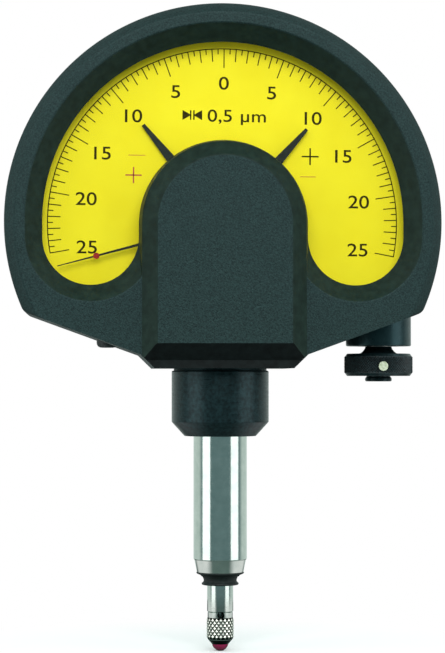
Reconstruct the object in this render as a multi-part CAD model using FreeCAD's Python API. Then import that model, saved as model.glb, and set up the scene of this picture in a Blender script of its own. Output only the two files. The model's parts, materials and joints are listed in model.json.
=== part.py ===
import FreeCAD, Part

import math
import os

from FreeCAD import Vector

# Mechanical dial comparator, millimetres.
# It is drawn about the dial's centre: x to the right, y to the back, z up, the spindle's axis at x = y = 0.
# The last lines raise it, so that the origin lies on the stem's axis, halfway along the stem's cylinder.

# Housing
corner_drop = 13.25
shoulder_half = 12.2
shoulder_drop = 19.4
foot_half = 10.15
body_drop = 21.4
wall = 2.6
ring_face = -11.5
front_wall = 2.6
rim_chamfer = 1.4
corner_round = rim_chamfer + 0.2
back_face = 6.5
ledge_width = 1.5
ledge_depth = 4.1
cover_screw_inset = 4.2

# Window and tongue
window_radius = 26.47
tongue_radius = 12.4
lobe_drop = 2.2
window_bevel = 2.5
tongue_rise = 2.0
tongue_draft = 0.4
tongue_chamfer = 2.0
tongue_foot_slope = 3.6
tongue_foot_depth = 2.9

# Crystal, pointer, markers and dial, from front to back
crystal_lap = 1.2
crystal_fit = 0.23
crystal_thickness = 0.9
clip_thickness = 0.5
layer_gap = 0.15
pointer_thickness = 0.15
pointer_clearance = 1.27
pointer_tail = 7.5
pointer_rest = -103.6
washer_thickness = 0.15
marker_thickness = 0.15
marker_length = 18.6
marker_base = 1.3
marker_tip = 0.5
marker_left_angle = -39.2
marker_right_angle = 41.8
keeper_thickness = 0.15
dial_gap = 0.05
dial_thickness = 0.4
dial_fit = 0.7
dial_corner_cut = 4.4
dial_bore = 10.65
dial_hub = 13.0

# Movement
plate_thickness = 1.0
rear_plate_thickness = 0.8
plate_spacing = 7.2
plate_margin = 2.0
plate_fit = 0.2
boss_radius = 4.0
boss_bore = 1.7
boss_wall = 1.0
module = 0.2
pinion_teeth = 10
gear_ratio = 20
sector_place = (-16.773, -12.637)
sector_teeth = 10
sector_lead = 5.2
sector_thickness = 0.6
sector_layer = 0.9
sector_arm = 2.0
lever_place = (2.5, -10.0)
lever_thickness = 1.2
arbor_radius = 0.6
pivot_radius = 0.2
jewel_radius = 0.9
running = 0.025
pin_radius = 0.3
pillar_radius = 1.5
pillar_places = ((-20.5, -4.0), (-10.0, 9.0), (10.0, 8.0), (9.0, -12.0))
pad_radius = 2.3
pad_thickness = 1.2
hairspring_turns = 5
hairspring_inner = 1.2
hairspring_outer = 5.0

# Tolerance marker setting
marker_module = 0.4
marker_teeth = 30
setting_teeth = 8
setting_radius = 1.2
left_setting_angle = -30.0
right_setting_angle = -68.0
setting_length = 2.5

# Collar, stem and bellows
collar_radius = 7.285
collar_length = 10.1
collar_chamfer = 1.9
collar_chamfer_height = 2.1
spigot_radius = 4.7
stem_radius = 4.0
stem_length = 18.5
stem_chamfer = 0.15
stem_seat = 3.8
stem_bore = 2.95
cone_top = 3.85
cone_bottom = 3.485
cone_length = 1.87
stem_top = -16.1
bellows_show = 1.9
bellows_inside = 5.37
bellows_folds = 3
bellows_wall = 0.25
flange_radius = 3.575
flange_thickness = 0.35

# Spindle and contact point
spindle_radius = 1.95
spindle_show = 4.0
spindle_bore = 1.25
overtravel = 2.9
head_radius = 2.6
head_thickness = 1.2
guide_pin_radius = 0.5
collar_ring_height = 1.0
measuring_spring_length = 11.0
overtravel_spring_length = 9.0
transfer_radius = 0.75
transfer_flange = 1.0
neck_radius = 1.875
neck_length = 1.13
knurl_radius = 2.06
knurl_length = 2.8
seat_length = 0.88
ball_radius = 1.25
cross_hole = 0.5

# Ball guide
guide_ball = 0.5
cage_length = 11.0
cage_slots = 3
balls_in_slot = 3
cage_wall = 0.5

# Fine adjuster
adjuster_inset = 8.1
adjuster_boss = 4.9
adjuster_drop = 18.04
bush_radius = 3.2
adjuster_bush_length = 7.0
shaft_radius = 1.95
thread_radius = 1.5
neck_flare = 2.7
neck_drop = 1.12
knob_radius = 5.175
knob_height = 3.36
knob_chamfer = 0.4
knob_teeth = 48
knob_tooth_depth = 0.22
screw_drop = 0.82
nut_width = 5.0
nut_height = 4.0
nut_pin = 0.6
dial_swing = 5.0
index_dot_radius = 0.72

# Back
cover_thickness = 3.0
cover_round = 1.0
cover_lip = 1.0
cover_fit = 0.1
cover_screw_radius = 1.5
key_hole = 1.5

# Lifter socket plug
plug_x = -16.9
plug_radius = 1.65
plug_proud = 0.6

# Sizes worked out from the sizes above
ledge_radius = window_radius + crystal_lap + crystal_fit
body_radius = ledge_radius + ledge_width + wall
dial_radius = ledge_radius - dial_fit
adjuster_x = body_radius - adjuster_inset
pointer_length = window_radius - pointer_clearance
crystal_front = ring_face + front_wall
crystal_back = crystal_front + crystal_thickness
pointer_front = crystal_back + layer_gap
pointer_back = pointer_front + pointer_thickness
washer_front = pointer_back + 0.1
washer_back = washer_front + washer_thickness
right_front = washer_back + 0.05
right_back = right_front + marker_thickness
left_front = right_back + 0.1
left_back = left_front + marker_thickness
keeper_front = left_back + 0.1
keeper_back = keeper_front + keeper_thickness
dial_front = keeper_back + dial_gap
dial_back = dial_front + dial_thickness
plate_front = crystal_front + ledge_depth
plate_back = plate_front + plate_thickness
rear_plate_front = plate_back + plate_spacing
rear_plate_back = rear_plate_front + rear_plate_thickness
pad_front = plate_front - pad_thickness
sector_front = plate_back + sector_layer
sector_back = sector_front + sector_thickness
collar_bottom = -body_drop - collar_length
stem_bottom = collar_bottom - stem_length
cone_end = stem_bottom - cone_length
bellows_end = cone_end - bellows_show
neck_top = bellows_end - spindle_show
knurl_top = neck_top - neck_length
knurl_bottom = knurl_top - knurl_length
seat_bottom = knurl_bottom - seat_length
ball_center = seat_bottom + 0.19
head_top = stem_top + head_thickness
knob_top = -adjuster_drop - neck_drop
knob_bottom = knob_top - knob_height
pinion_radius = module * pinion_teeth / 2
sector_radius = pinion_radius * gear_ratio
setting_pinion = marker_module * setting_teeth / 2
marker_gear = marker_module * marker_teeth / 2
dial_height = body_drop + collar_length + (stem_length - stem_chamfer) / 2

# Hidden round pieces up to this radius are drawn with flat sides, which keeps the model light
small_round = 1.6
small_sides = 16

pieces = {}


def spot(x, z, y=0.0):
    """A point from its place on the dial's face and its depth."""
    return Vector(x, y, z)


def polar(radius, degrees, y=0.0):
    """A point at an angle counted clockwise from the top of the dial."""
    turn = math.radians(degrees)
    return Vector(radius * math.sin(turn), y, radius * math.cos(turn))


def lines(points):
    return [Part.makeLine(a, b) for a, b in zip(points, points[1:])]


def arc(a, b, c):
    return Part.Arc(a, b, c).toShape()


def loop(edges):
    return Part.Wire(Part.__sortEdges__(edges))


def slab(wire, y0, y1):
    """A flat piece with the wire's outline between two depths."""
    face = Part.Face(wire)
    face.translate(Vector(0, y0, 0))
    return face.extrude(Vector(0, y1 - y0, 0))


def polygon(points):
    return Part.makePolygon(list(points) + [points[0]])


def small_rod(radius, length):
    """A thin upright rod with flat sides, its corners at the radius."""
    turns = [2 * math.pi * index / small_sides for index in range(small_sides)]
    corners = [Vector(radius * math.cos(turn), radius * math.sin(turn), 0) for turn in turns]
    return Part.Face(polygon(corners)).extrude(Vector(0, 0, length))


def disc(x, z, radius, y0, y1):
    """A round bar that points from the front to the back."""
    if radius > small_round:
        return Part.makeCylinder(radius, y1 - y0, Vector(x, y0, z), Vector(0, 1, 0))
    rod = small_rod(radius, y1 - y0)
    rod.rotate(Vector(0, 0, 0), Vector(1, 0, 0), -90)
    rod.translate(Vector(x, y0, z))
    return rod


def washer(x, z, outer, inner, y0, y1):
    return disc(x, z, outer, y0, y1).cut(disc(x, z, inner, y0 - 1, y1 + 1))


def post(x, y, radius, z0, z1):
    """An upright round bar."""
    if radius > small_round:
        return Part.makeCylinder(radius, z1 - z0, Vector(x, y, z0))
    rod = small_rod(radius, z1 - z0)
    rod.translate(Vector(x, y, z0))
    return rod


def tube(x, y, outer, inner, z0, z1):
    return post(x, y, outer, z0, z1).cut(post(x, y, inner, z0 - 1, z1 + 1))


def turned(profile, x=0.0, y=0.0):
    """A solid turned about an upright axis from its radii and heights."""
    face = Part.Face(polygon([Vector(r, 0, z) for r, z in profile]))
    solid = face.revolve(Vector(0, 0, 0), Vector(0, 0, 1), 360)
    solid.translate(Vector(x, y, 0))
    return solid


def block(x0, x1, y0, y1, z0, z1):
    return Part.makeBox(x1 - x0, y1 - y0, z1 - z0, Vector(x0, y0, z0))


def joined(shapes):
    whole = shapes[0]
    for shape in shapes[1:]:
        whole = whole.fuse(shape)
    return whole.removeSplitter()


def turned_about(shape, degrees, x=0.0, z=0.0):
    """The shape turned clockwise, seen from the front."""
    copy = shape.copy()
    copy.rotate(Vector(x, 0, z), Vector(0, 1, 0), degrees)
    return copy


# Outline of the housing, cover and chambers
def housing_outline():
    corner = math.sqrt(body_radius**2 - corner_drop**2)
    right = spot(corner, -corner_drop)
    left = spot(-corner, -corner_drop)
    foot = [
        right,
        spot(shoulder_half, -shoulder_drop),
        spot(foot_half, -body_drop),
        spot(-foot_half, -body_drop),
        spot(-shoulder_half, -shoulder_drop),
        left,
    ]
    return loop([arc(right, spot(0, body_radius), left)] + lines(foot))


def inset_outline(distance):
    return Part.Face(housing_outline()).makeOffset2D(-distance).OuterWire


# Outline of the window without the tongue, widened all round
def window_outline(widening):
    radius = window_radius + widening
    lobe = (window_radius - tongue_radius) / 2 + widening
    lobe_x = (window_radius + tongue_radius) / 2
    inner = lobe_x - lobe
    drop = -lobe_drop
    edges = [arc(spot(radius, 0), spot(0, radius), spot(-radius, 0))]
    for side in (1, -1):
        edges.append(Part.makeLine(spot(side * radius, 0), spot(side * radius, drop)))
        bottom = spot(side * lobe_x, drop - lobe)
        edges.append(arc(spot(side * radius, drop), bottom, spot(side * inner, drop)))
    edges.append(Part.makeLine(spot(-inner, drop), spot(inner, drop)))
    return loop(edges)


def tapered_arch(radius0, y0, radius1, y1, foot):
    """A half cone above the dial's centre and a prism with sloping sides below it, down to the foot."""
    cone = Part.makeCone(radius0, radius1, y1 - y0, Vector(0, y0, 0), Vector(0, 1, 0))
    reach = max(radius0, radius1) + 1
    head = cone.common(block(-reach, reach, y0, y1, 0, reach))
    corners = [
        Vector(-radius0, y0, foot),
        Vector(radius0, y0, foot),
        Vector(radius1, y1, foot),
        Vector(-radius1, y1, foot),
    ]
    return head.fuse(Part.Face(polygon(corners)).extrude(Vector(0, 0, -foot)))


# Raised tongue that hides the pointer's hub, with its sloped flanks and foot
def tongue():
    top = ring_face - tongue_rise
    waist = tongue_radius - tongue_draft
    upper = tapered_arch(waist - tongue_chamfer, top, waist, ring_face, -body_drop)
    lower = tapered_arch(waist, ring_face, tongue_radius, crystal_front, -body_drop)
    body = upper.fuse(lower)
    slope_start = -body_drop + tongue_foot_slope
    slope_end = top + tongue_foot_depth
    run = tongue_foot_slope * 0.8
    wedge = polygon(
        [
            Vector(-body_radius, top - 1, slope_start + run / tongue_foot_depth),
            Vector(-body_radius, slope_end, slope_start - run),
            Vector(-body_radius, slope_end, -body_drop - 1),
            Vector(-body_radius, top - 1, -body_drop - 1),
        ]
    )
    body = body.cut(Part.Face(wedge).extrude(Vector(2 * body_radius, 0, 0)))
    return body.common(slab(housing_outline(), top - 1, 0))


# Opening over the dial, narrow at the crystal and wider in front, without the tongue
def window_opening():
    reach = 0.5
    front = ring_face - reach
    spread = window_bevel * (front_wall + reach) / front_wall
    wide = window_radius + spread
    opening = tapered_arch(wide, front, window_radius, crystal_front, -lobe_drop)
    lobe = (window_radius - tongue_radius) / 2
    lobe_x = (window_radius + tongue_radius) / 2
    for side in (-1, 1):
        middle = Vector(side * lobe_x, front, -lobe_drop)
        depth = crystal_front - front
        opening = opening.fuse(Part.makeCone(lobe + spread, lobe, depth, middle, Vector(0, 1, 0)))
    return opening


# Places of the screws that hold the movement, and of the cover's screws
upper_pads = [polar(ledge_radius - 0.8, angle) for angle in (-30, 30)]
lower_pads = [spot(side * (spigot_radius + 2.8), -body_drop + wall + 1.9) for side in (-1, 1)]
pad_places = [(place.x, place.z) for place in upper_pads + lower_pads]
cover_spots = [polar(body_radius - cover_screw_inset, side * angle) for side in (-1, 1) for angle in (40, 105)]
cover_places = [(place.x, place.z) for place in cover_spots]


# Front housing, one casting with the window, the tongue and the adjuster's boss
def front_housing():
    body = slab(housing_outline(), ring_face, back_face)
    corners = [
        edge
        for edge in body.Edges
        if edge.Length > front_wall
        and edge.BoundBox.XLength < 1e-6
        and edge.BoundBox.ZLength < 1e-6
        and abs(edge.BoundBox.Center.x) > foot_half + 0.1
    ]
    body = body.makeFillet(corner_round, corners)
    rim = [edge for edge in body.Edges if edge.BoundBox.YMax < ring_face + 1e-6]
    body = body.makeChamfer(rim_chamfer, rim)
    body = body.cut(window_opening()).fuse(tongue())
    boss = post(adjuster_x, 0, adjuster_boss, -adjuster_drop, -corner_drop)
    body = body.fuse(boss.makeChamfer(0.2, [e for e in boss.Edges if e.BoundBox.ZMax < -adjuster_drop + 0.01]))
    inside = inset_outline(wall)
    rear = slab(inside, plate_front, back_face + 1)
    front = slab(inside, crystal_front, plate_front).common(disc(0, 0, ledge_radius, crystal_front, plate_front))
    body = body.cut(front).cut(rear)
    chamber = slab(inside, pad_front - 1, plate_front + 1)
    pads = [disc(x, z, pad_radius, pad_front, plate_front).common(chamber) for x, z in pad_places]
    body = joined([body] + pads)
    for x, z in pad_places:
        body = body.cut(disc(x, z, 0.7, pad_front + 0.2, plate_front + 1))
    lug = 2.6
    lug_end = back_face - cover_lip - cover_fit
    for x, z in cover_places:
        column = disc(x, z, lug, rear_plate_back, lug_end).common(slab(inside, rear_plate_back, lug_end))
        body = body.fuse(column).cut(disc(x, z, 0.8, rear_plate_back - 1, lug_end))
    body = body.cut(post(0, 0, spigot_radius, -body_drop - 1, -body_drop + wall + 2))
    body = body.cut(post(adjuster_x, 0, bush_radius, -adjuster_drop - 1, -corner_drop + wall))
    plug_hole = post(plug_x, 0, plug_radius, -body_drop, slant_height(plug_x) + wall + 2)
    return body.cut(plug_hole).removeSplitter()


def slant_height(x):
    """Height of the sloped lower edge at a distance from the middle."""
    corner = math.sqrt(body_radius**2 - corner_drop**2)
    share = (corner - abs(x)) / (corner - shoulder_half)
    return -corner_drop - share * (shoulder_drop - corner_drop)


pieces["front_housing"] = front_housing()


# Rear cover with a lip inside the wall, and the holes of the marker keys
def setting_spot(angle):
    reach = marker_gear + setting_pinion
    turn = math.radians(angle)
    return reach * math.cos(turn), reach * math.sin(turn)


setting_places = {"left": setting_spot(left_setting_angle), "right": setting_spot(right_setting_angle)}
cover_back = back_face + cover_thickness


def rear_cover():
    body = slab(housing_outline(), back_face, cover_back)
    edges = [edge for edge in body.Edges if edge.BoundBox.YMin > cover_back - 1e-6]
    body = body.makeChamfer(cover_round, edges)
    lip = slab(inset_outline(wall + cover_fit), back_face - cover_lip, back_face)
    body = body.fuse(lip)
    for x, z in cover_places:
        body = body.cut(disc(x, z, 0.8, back_face - 2, cover_back + 1))
        body = body.cut(disc(x, z, cover_screw_radius + 0.1, cover_back - 1.3, cover_back + 1))
    for x, z in setting_places.values():
        body = body.cut(disc(x, z, key_hole, back_face - 1, cover_back + 1))
    return body.removeSplitter()


pieces["rear_cover"] = rear_cover()


# Cheese-head screw that is driven from the back
def screw(x, z, crown, shank, crown_front, crown_back, tip):
    return disc(x, z, crown, crown_front, crown_back).fuse(disc(x, z, shank, tip, crown_front))


pieces["cover_screws"] = Part.makeCompound(
    [
        screw(x, z, cover_screw_radius, 0.8, cover_back - 1.3, cover_back - 0.1, rear_plate_back + 0.2).cut(
            block(x - 2, x + 2, cover_back - 0.5, cover_back, z - 0.25, z + 0.25)
        )
        for x, z in cover_places
    ]
)


# Crystal and the open spring clip behind it
crystal = slab(window_outline(crystal_lap), crystal_front, crystal_back)
pieces["window_crystal"] = crystal
clip = slab(window_outline(crystal_lap), crystal_back, crystal_back + clip_thickness)
clip = clip.cut(slab(window_outline(0.2), crystal_back - 1, crystal_back + 1))
lobe_middle = (window_radius + tongue_radius) / 2
clip_cut = block(-lobe_middle, lobe_middle, crystal_back - 1, crystal_back + 1, -body_drop, 0)
pieces["crystal_clip"] = clip.cut(clip_cut)


# Collar under the housing, with a spigot in the housing's floor
collar = turned(
    [
        (stem_seat, collar_bottom),
        (collar_radius - collar_chamfer, collar_bottom),
        (collar_radius, collar_bottom + collar_chamfer_height),
        (collar_radius, -body_drop),
        (spigot_radius, -body_drop),
        (spigot_radius, -body_drop + wall),
        (stem_seat, -body_drop + wall),
    ]
)
pieces["stem_collar"] = collar

# Stem, a ground tube with a short cone at its mouth
pieces["stem"] = turned(
    [
        (stem_bore, cone_end),
        (cone_bottom, cone_end),
        (cone_top, stem_bottom),
        (stem_radius, stem_bottom + stem_chamfer),
        (stem_radius, collar_bottom),
        (stem_seat, collar_bottom),
        (stem_seat, stem_top),
        (stem_bore, stem_top),
    ]
)

# Plug at the top of the stem, which backs the measuring spring and guides the spindle
cap_length = 2.4
cap_bottom = stem_top - cap_length
pieces["stem_cap"] = tube(0, 0, stem_bore, spindle_radius + 2 * running, cap_bottom, stem_top)

# Ring that clamps the bellows on the stem's mouth
pieces["bellows_flange"] = tube(0, 0, flange_radius, stem_bore - 0.2, cone_end - flange_thickness, cone_end)


# Rubber bellows, folded, from a bead in the stem to a lip on the spindle
def bellows():
    top = cone_end + bellows_inside
    lip_top = bellows_end + 0.45
    crest = stem_bore - 0.25
    root = spindle_radius + 0.25
    step = (top - 0.5 - lip_top) / bellows_folds
    outer = [(crest, top), (crest, top - 0.5)]
    inner = [(root, top), (root, top - 0.5 + bellows_wall)]
    for fold in range(bellows_folds):
        z = top - 0.5 - fold * step
        outer += [(root + bellows_wall, z - step * 0.3), (crest, z - step * 0.8)]
        inner += [(root, z - step * 0.3), (crest - bellows_wall, z - step * 0.8)]
    outer += [(root + bellows_wall, lip_top + 0.05), (crest, lip_top - 0.1), (crest, bellows_end)]
    inner += [(root, lip_top), (spindle_radius, lip_top - 0.05), (spindle_radius, bellows_end)]
    return turned(outer + inner[::-1])


pieces["bellows"] = bellows()

# Spindle, bored from the top for the overtravel spring and from below for the contact point's stud
stud_length = 3.5
bush_length = 1.4
flange_top = head_top - bush_length
flange_bottom = flange_top - transfer_flange
spring_floor = flange_bottom - overtravel_spring_length
pieces["spindle"] = (
    post(0, 0, spindle_radius, neck_top, head_top)
    .cut(post(0, 0, spindle_bore, spring_floor, head_top + 1))
    .cut(post(0, 0, spindle_bore, neck_top - 1, neck_top + stud_length))
)

# Head that rests on the stem's top, and the pin that keeps the spindle from turning
head_middle = (stem_top + head_top) / 2
fork_reach = rear_plate_back - 0.1
guide_pin = disc(0, head_middle, guide_pin_radius, spindle_radius, fork_reach)
pieces["spindle_head"] = tube(0, 0, head_radius, spindle_radius, stem_top, head_top).cut(guide_pin)
pieces["guide_pin"] = guide_pin.cut(post(0, 0, spindle_radius, stem_top, head_top))

# Bush in the spindle's top, which holds the transfer pin back
pieces["pin_bush"] = tube(0, 0, spindle_bore, transfer_radius + 2 * running, flange_top, head_top)


# Ring on the spindle that the measuring spring presses on
spring_seat = cap_bottom - measuring_spring_length
pieces["spring_ring"] = tube(
    0, 0, stem_bore - 0.15, spindle_radius, spring_seat - collar_ring_height, spring_seat
)


# Square-wire coil about the upright axis, made of short straight lengths
def coil(radius, wire, turns, z0, z1):
    steps = 10
    count = turns * steps
    rise = (z1 - z0 - 2 * wire) / count
    corners = ((-wire, -wire), (wire, -wire), (wire, wire), (-wire, wire))

    def ring(index):
        turn = 2 * math.pi * index / steps
        z = z0 + wire + index * rise
        return [
            Vector((radius + out) * math.cos(turn), (radius + out) * math.sin(turn), z + up)
            for out, up in corners
        ]

    rings = [ring(index) for index in range(count + 1)]
    faces = [Part.Face(polygon(rings[0])), Part.Face(polygon(rings[-1]))]
    for here, there in zip(rings, rings[1:]):
        for k in range(4):
            a, b = here[k - 1], here[k]
            c, d = there[k], there[k - 1]
            faces += [Part.Face(polygon([a, b, c])), Part.Face(polygon([a, c, d]))]
    solid = Part.Solid(Part.Shell(faces))
    return solid if solid.Volume > 0 else solid.reversed()


measuring_wire = 0.22
overtravel_wire = 0.12
pieces["measuring_spring"] = coil(
    (stem_bore + spindle_radius) / 2, measuring_wire, 7, spring_seat, cap_bottom
)
pieces["overtravel_spring"] = coil(
    spindle_bore - overtravel_wire - 0.1, overtravel_wire, 9, spring_floor, flange_bottom
)

# Transfer pin between the spindle and the lever's jewel
pallet_drop = 0.55
lever_half = 0.85
pin_top = lever_place[1] - lever_half - pallet_drop
pieces["transfer_pin"] = post(0, 0, transfer_radius, flange_top, pin_top).fuse(
    post(0, 0, spindle_bore - 0.05, flange_bottom, flange_top)
)


# Contact point with a spanner hole, and its ruby ball
def contact_point():
    edge = 0.25
    body = turned(
        [
            (0, seat_bottom),
            (ball_radius, seat_bottom),
            (knurl_radius - edge, knurl_bottom),
            (knurl_radius, knurl_bottom + edge),
            (knurl_radius, knurl_top),
            (neck_radius, knurl_top),
            (neck_radius, neck_top),
            (0, neck_top),
        ]
    )
    body = body.fuse(post(0, 0, spindle_bore, neck_top, neck_top + stud_length))
    body = body.cut(disc(0, (neck_top + knurl_top) / 2, cross_hole, -knurl_radius, knurl_radius))
    return body.cut(Part.makeSphere(ball_radius, Vector(0, 0, ball_center), Vector(0, 0, 1), -90, 30))


pieces["contact_point"] = contact_point()
pieces["ruby_ball"] = Part.makeSphere(ball_radius, Vector(0, 0, ball_center), Vector(0, 0, 1), -90, 30)


# Many-sided ball, an icosahedron with each face split in four
def faceted_ball(center, radius):
    golden = (1 + math.sqrt(5)) / 2
    base = []
    for a in (-1, 1):
        for b in (-golden, golden):
            base += [Vector(0, a, b), Vector(a, b, 0), Vector(b, 0, a)]
    faces = []
    for i, p in enumerate(base):
        for j in range(i + 1, 12):
            for k in range(j + 1, 12):
                q, r = base[j], base[k]
                if max((p - q).Length, (q - r).Length, (p - r).Length) > 2.1:
                    continue
                pq, qr, rp = (p + q) / 2, (q + r) / 2, (r + p) / 2
                for corners in ((p, pq, rp), (pq, q, qr), (rp, qr, r), (pq, qr, rp)):
                    ends = [center + c * (radius / c.Length) for c in corners]
                    faces.append(Part.Face(polygon(ends)))
    solid = Part.Solid(Part.Shell(faces))
    return solid if solid.Volume > 0 else solid.reversed()


# Slotted ball cage and its balls between the spindle and the stem's bore
ball_track = (spindle_radius + stem_bore) / 2
cage_bottom = cone_end + bellows_inside + 0.9
cage = tube(0, 0, ball_track + cage_wall / 2, ball_track - cage_wall / 2, cage_bottom, cage_bottom + cage_length)
slot_half = guide_ball + 0.03
balls = []
for index in range(cage_slots):
    turn = 360.0 * index / cage_slots
    low, high = cage_bottom + 1, cage_bottom + cage_length - 1
    slot = block(0, stem_bore, -slot_half, slot_half, low, high)
    slot.rotate(Vector(0, 0, 0), Vector(0, 0, 1), turn)
    cage = cage.cut(slot)
    for row in range(balls_in_slot):
        height = low + (high - low) * (row + 0.5) / balls_in_slot
        center = Vector(ball_track, 0, height)
        ball = faceted_ball(center, guide_ball)
        ball.rotate(Vector(0, 0, 0), Vector(0, 0, 1), turn)
        balls.append(ball)
pieces["ball_cage"] = cage
pieces["guide_balls"] = Part.makeCompound(balls)


# Teeth of a spur gear, drawn as straight-sided teeth about a centre
def gear_outline(x, z, teeth, size, first_tooth, shown, full=True):
    pitch = 2 * math.pi / teeth
    radius = size * teeth / 2
    tip = radius + 0.85 * size
    root = radius - 1.1 * size
    half = 0.21 * math.pi * size
    tip_half = (half - 0.85 * size * math.tan(math.radians(20))) / tip
    root_half = (half + 1.0 * size * math.tan(math.radians(20))) / root
    root_half = min(root_half, 0.46 * pitch)
    points = []
    for index in range(shown):
        middle = math.radians(first_tooth) + index * pitch
        for distance, offset in ((root, -root_half), (tip, -tip_half), (tip, tip_half), (root, root_half)):
            turn = middle + offset
            points.append(spot(x + distance * math.cos(turn), z + distance * math.sin(turn)))
    return points


def pinion(x, z, teeth, size, first_tooth, y0, y1):
    return slab(polygon(gear_outline(x, z, teeth, size, first_tooth, teeth)), y0, y1)


# Front movement plate on the housing's ledge, with the dial's bearing ring and the markers' boss
def front_plate():
    body = slab(inset_outline(wall + plate_fit), plate_front, plate_back)
    notch = spigot_radius + 0.6
    body = body.cut(block(-notch, notch, plate_front - 1, plate_back + 1, -body_drop, stem_top + 2.6))
    bearing = washer(0, 0, dial_bore - 2 * running, dial_bore - boss_wall, dial_front - dial_gap, plate_front)
    markers_boss = disc(0, 0, boss_radius, right_front - 0.05, plate_front)
    body = body.fuse(bearing).fuse(markers_boss).cut(disc(0, 0, boss_bore, right_front - 1, plate_front))
    slot_half = adjuster_x * math.radians(dial_swing) + nut_pin + 0.3
    slot = nut_pin + 0.3
    body = body.cut(
        block(adjuster_x - slot, adjuster_x + slot, plate_front - 1, plate_back + 1, -slot_half, slot_half)
    )
    for x, z in setting_places.values():
        body = body.cut(disc(x, z, setting_radius + 2 * running, plate_front - 1, plate_back + 1))
    for x, z in pad_places:
        body = body.cut(disc(x, z, 0.9, plate_front - 1, plate_back + 1))
    for x, z in jewel_places:
        body = body.cut(disc(x, z, jewel_radius, plate_front - 1, plate_back + 1))
    return body.removeSplitter()


# Rear movement plate, with the fork that the guide pin runs in
def rear_plate():
    corners = [pillar_places[0], pillar_places[1], pillar_places[2], pillar_places[3], sector_place]
    hull = Part.Face(polygon([spot(x, z) for x, z in corners])).makeOffset2D(plate_margin, 0)
    body = slab(hull.OuterWire, rear_plate_front, rear_plate_back)
    fork = guide_pin_radius + 2 * running
    tab = 2.6
    body = body.fuse(block(-tab, tab, rear_plate_front, rear_plate_back, stem_top + 0.3, lever_place[1]))
    top = head_middle + overtravel + guide_pin_radius + 0.4
    body = body.cut(block(-fork, fork, rear_plate_front - 1, rear_plate_back + 1, -body_drop, top))
    for x, z in setting_places.values():
        body = body.cut(disc(x, z, setting_radius + 2 * running, rear_plate_front - 1, rear_plate_back + 1))
    for x, z in jewel_places:
        body = body.cut(disc(x, z, jewel_radius, rear_plate_front - 1, rear_plate_back + 1))
    for x, z in pillar_places:
        body = body.cut(disc(x, z, 0.8, rear_plate_front - 1, rear_plate_back + 1))
    return body.removeSplitter()


jewel_places = [(0.0, 0.0), lever_place, sector_place]
pieces["front_plate"] = front_plate()
pieces["rear_plate"] = rear_plate()

# Bearing jewels, a pair to each arbor
jewels = []
for x, z in jewel_places:
    bore = pivot_radius + running
    front_bore = arbor_radius / 2 + running if (x, z) == (0.0, 0.0) else bore
    jewels.append(washer(x, z, jewel_radius, front_bore, plate_front, plate_back))
    jewels.append(washer(x, z, jewel_radius, bore, rear_plate_front, rear_plate_back))
pieces["bearing_jewels"] = Part.makeCompound(jewels)

# Pillars, their screws, and the screws that hold the movement to the housing
pieces["pillars"] = Part.makeCompound(
    [disc(x, z, pillar_radius, plate_back, rear_plate_front) for x, z in pillar_places]
)
pieces["pillar_screws"] = Part.makeCompound(
    [
        screw(x, z, 1.4, 0.8, rear_plate_back, rear_plate_back + 0.8, rear_plate_front)
        for x, z in pillar_places
    ]
)
pieces["movement_screws"] = Part.makeCompound(
    [screw(x, z, 1.5, 0.7, plate_back, plate_back + 0.8, pad_front + 0.2) for x, z in pad_places]
)


# Arbor between the plates with a thin pivot at each end
def arbor(x, z, front_end, front_radius):
    shoulder = 0.1
    body = disc(x, z, arbor_radius, plate_back + shoulder, rear_plate_front - shoulder)
    front = disc(x, z, front_radius, front_end, plate_back + shoulder)
    back = disc(x, z, pivot_radius, rear_plate_front - shoulder, rear_plate_back - shoulder)
    return joined([body, front, back])


# Pointer's arbor, cut with the pinion, and the hairspring's collet
mesh_angle = math.degrees(math.atan2(-sector_place[1], -sector_place[0]))
pointer_shaft = arbor_radius / 2
pinion_start = sector_front - 0.3
pinion_end = sector_back + 0.3
pointer_arbor = arbor(0, 0, pointer_back, pointer_shaft)
pieces["pointer_arbor"] = pointer_arbor.fuse(
    pinion(0, 0, pinion_teeth, module, mesh_angle + 180, pinion_start, pinion_end)
)
hairspring_front = 1.2
hairspring_width = 0.3
collet_outer = hairspring_inner - 0.15
pieces["hairspring_collet"] = washer(
    0, 0, collet_outer, arbor_radius, hairspring_front - 0.2, hairspring_front + hairspring_width + 0.2
)


# Pointer blade with its hub and tail
def pointer():
    blade = polygon(
        [
            spot(-0.3, -pointer_tail),
            spot(0.3, -pointer_tail),
            spot(0.15, 0),
            spot(0.075, pointer_length),
            spot(-0.075, pointer_length),
            spot(-0.15, 0),
        ]
    )
    body = slab(blade, pointer_front, pointer_back)
    hub = disc(0, 0, 1.1, pointer_front, pointer_back)
    weight = disc(0, -pointer_tail, 0.8, pointer_front, pointer_back)
    return turned_about(joined([body, hub, weight]), pointer_rest)


pieces["pointer"] = pointer()
pieces["pointer_hub"] = washer(0, 0, 0.8, pointer_shaft, pointer_back, pointer_back + 1.2)


# Tolerance marker: a toothed ring with a blade that reaches over the scale
def marker(angle, setting_angle, y0, y1):
    half_tooth = 180.0 / marker_teeth
    outline = gear_outline(0, 0, marker_teeth, marker_module, setting_angle + half_tooth, marker_teeth)
    ring = slab(polygon(outline), y0, y1)
    base = marker_gear - 1
    blade = polygon(
        [
            spot(-marker_base * 0.6, base),
            spot(marker_base * 0.6, base),
            spot(marker_base / 2, tongue_radius),
            spot(marker_tip / 2, marker_length),
            spot(-marker_tip / 2, marker_length),
            spot(-marker_base / 2, tongue_radius),
        ]
    )
    body = ring.fuse(turned_about(slab(blade, y0, y1), angle))
    return body.cut(disc(0, 0, boss_radius + 2 * running, y0 - 1, y1 + 1)).removeSplitter()


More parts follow.
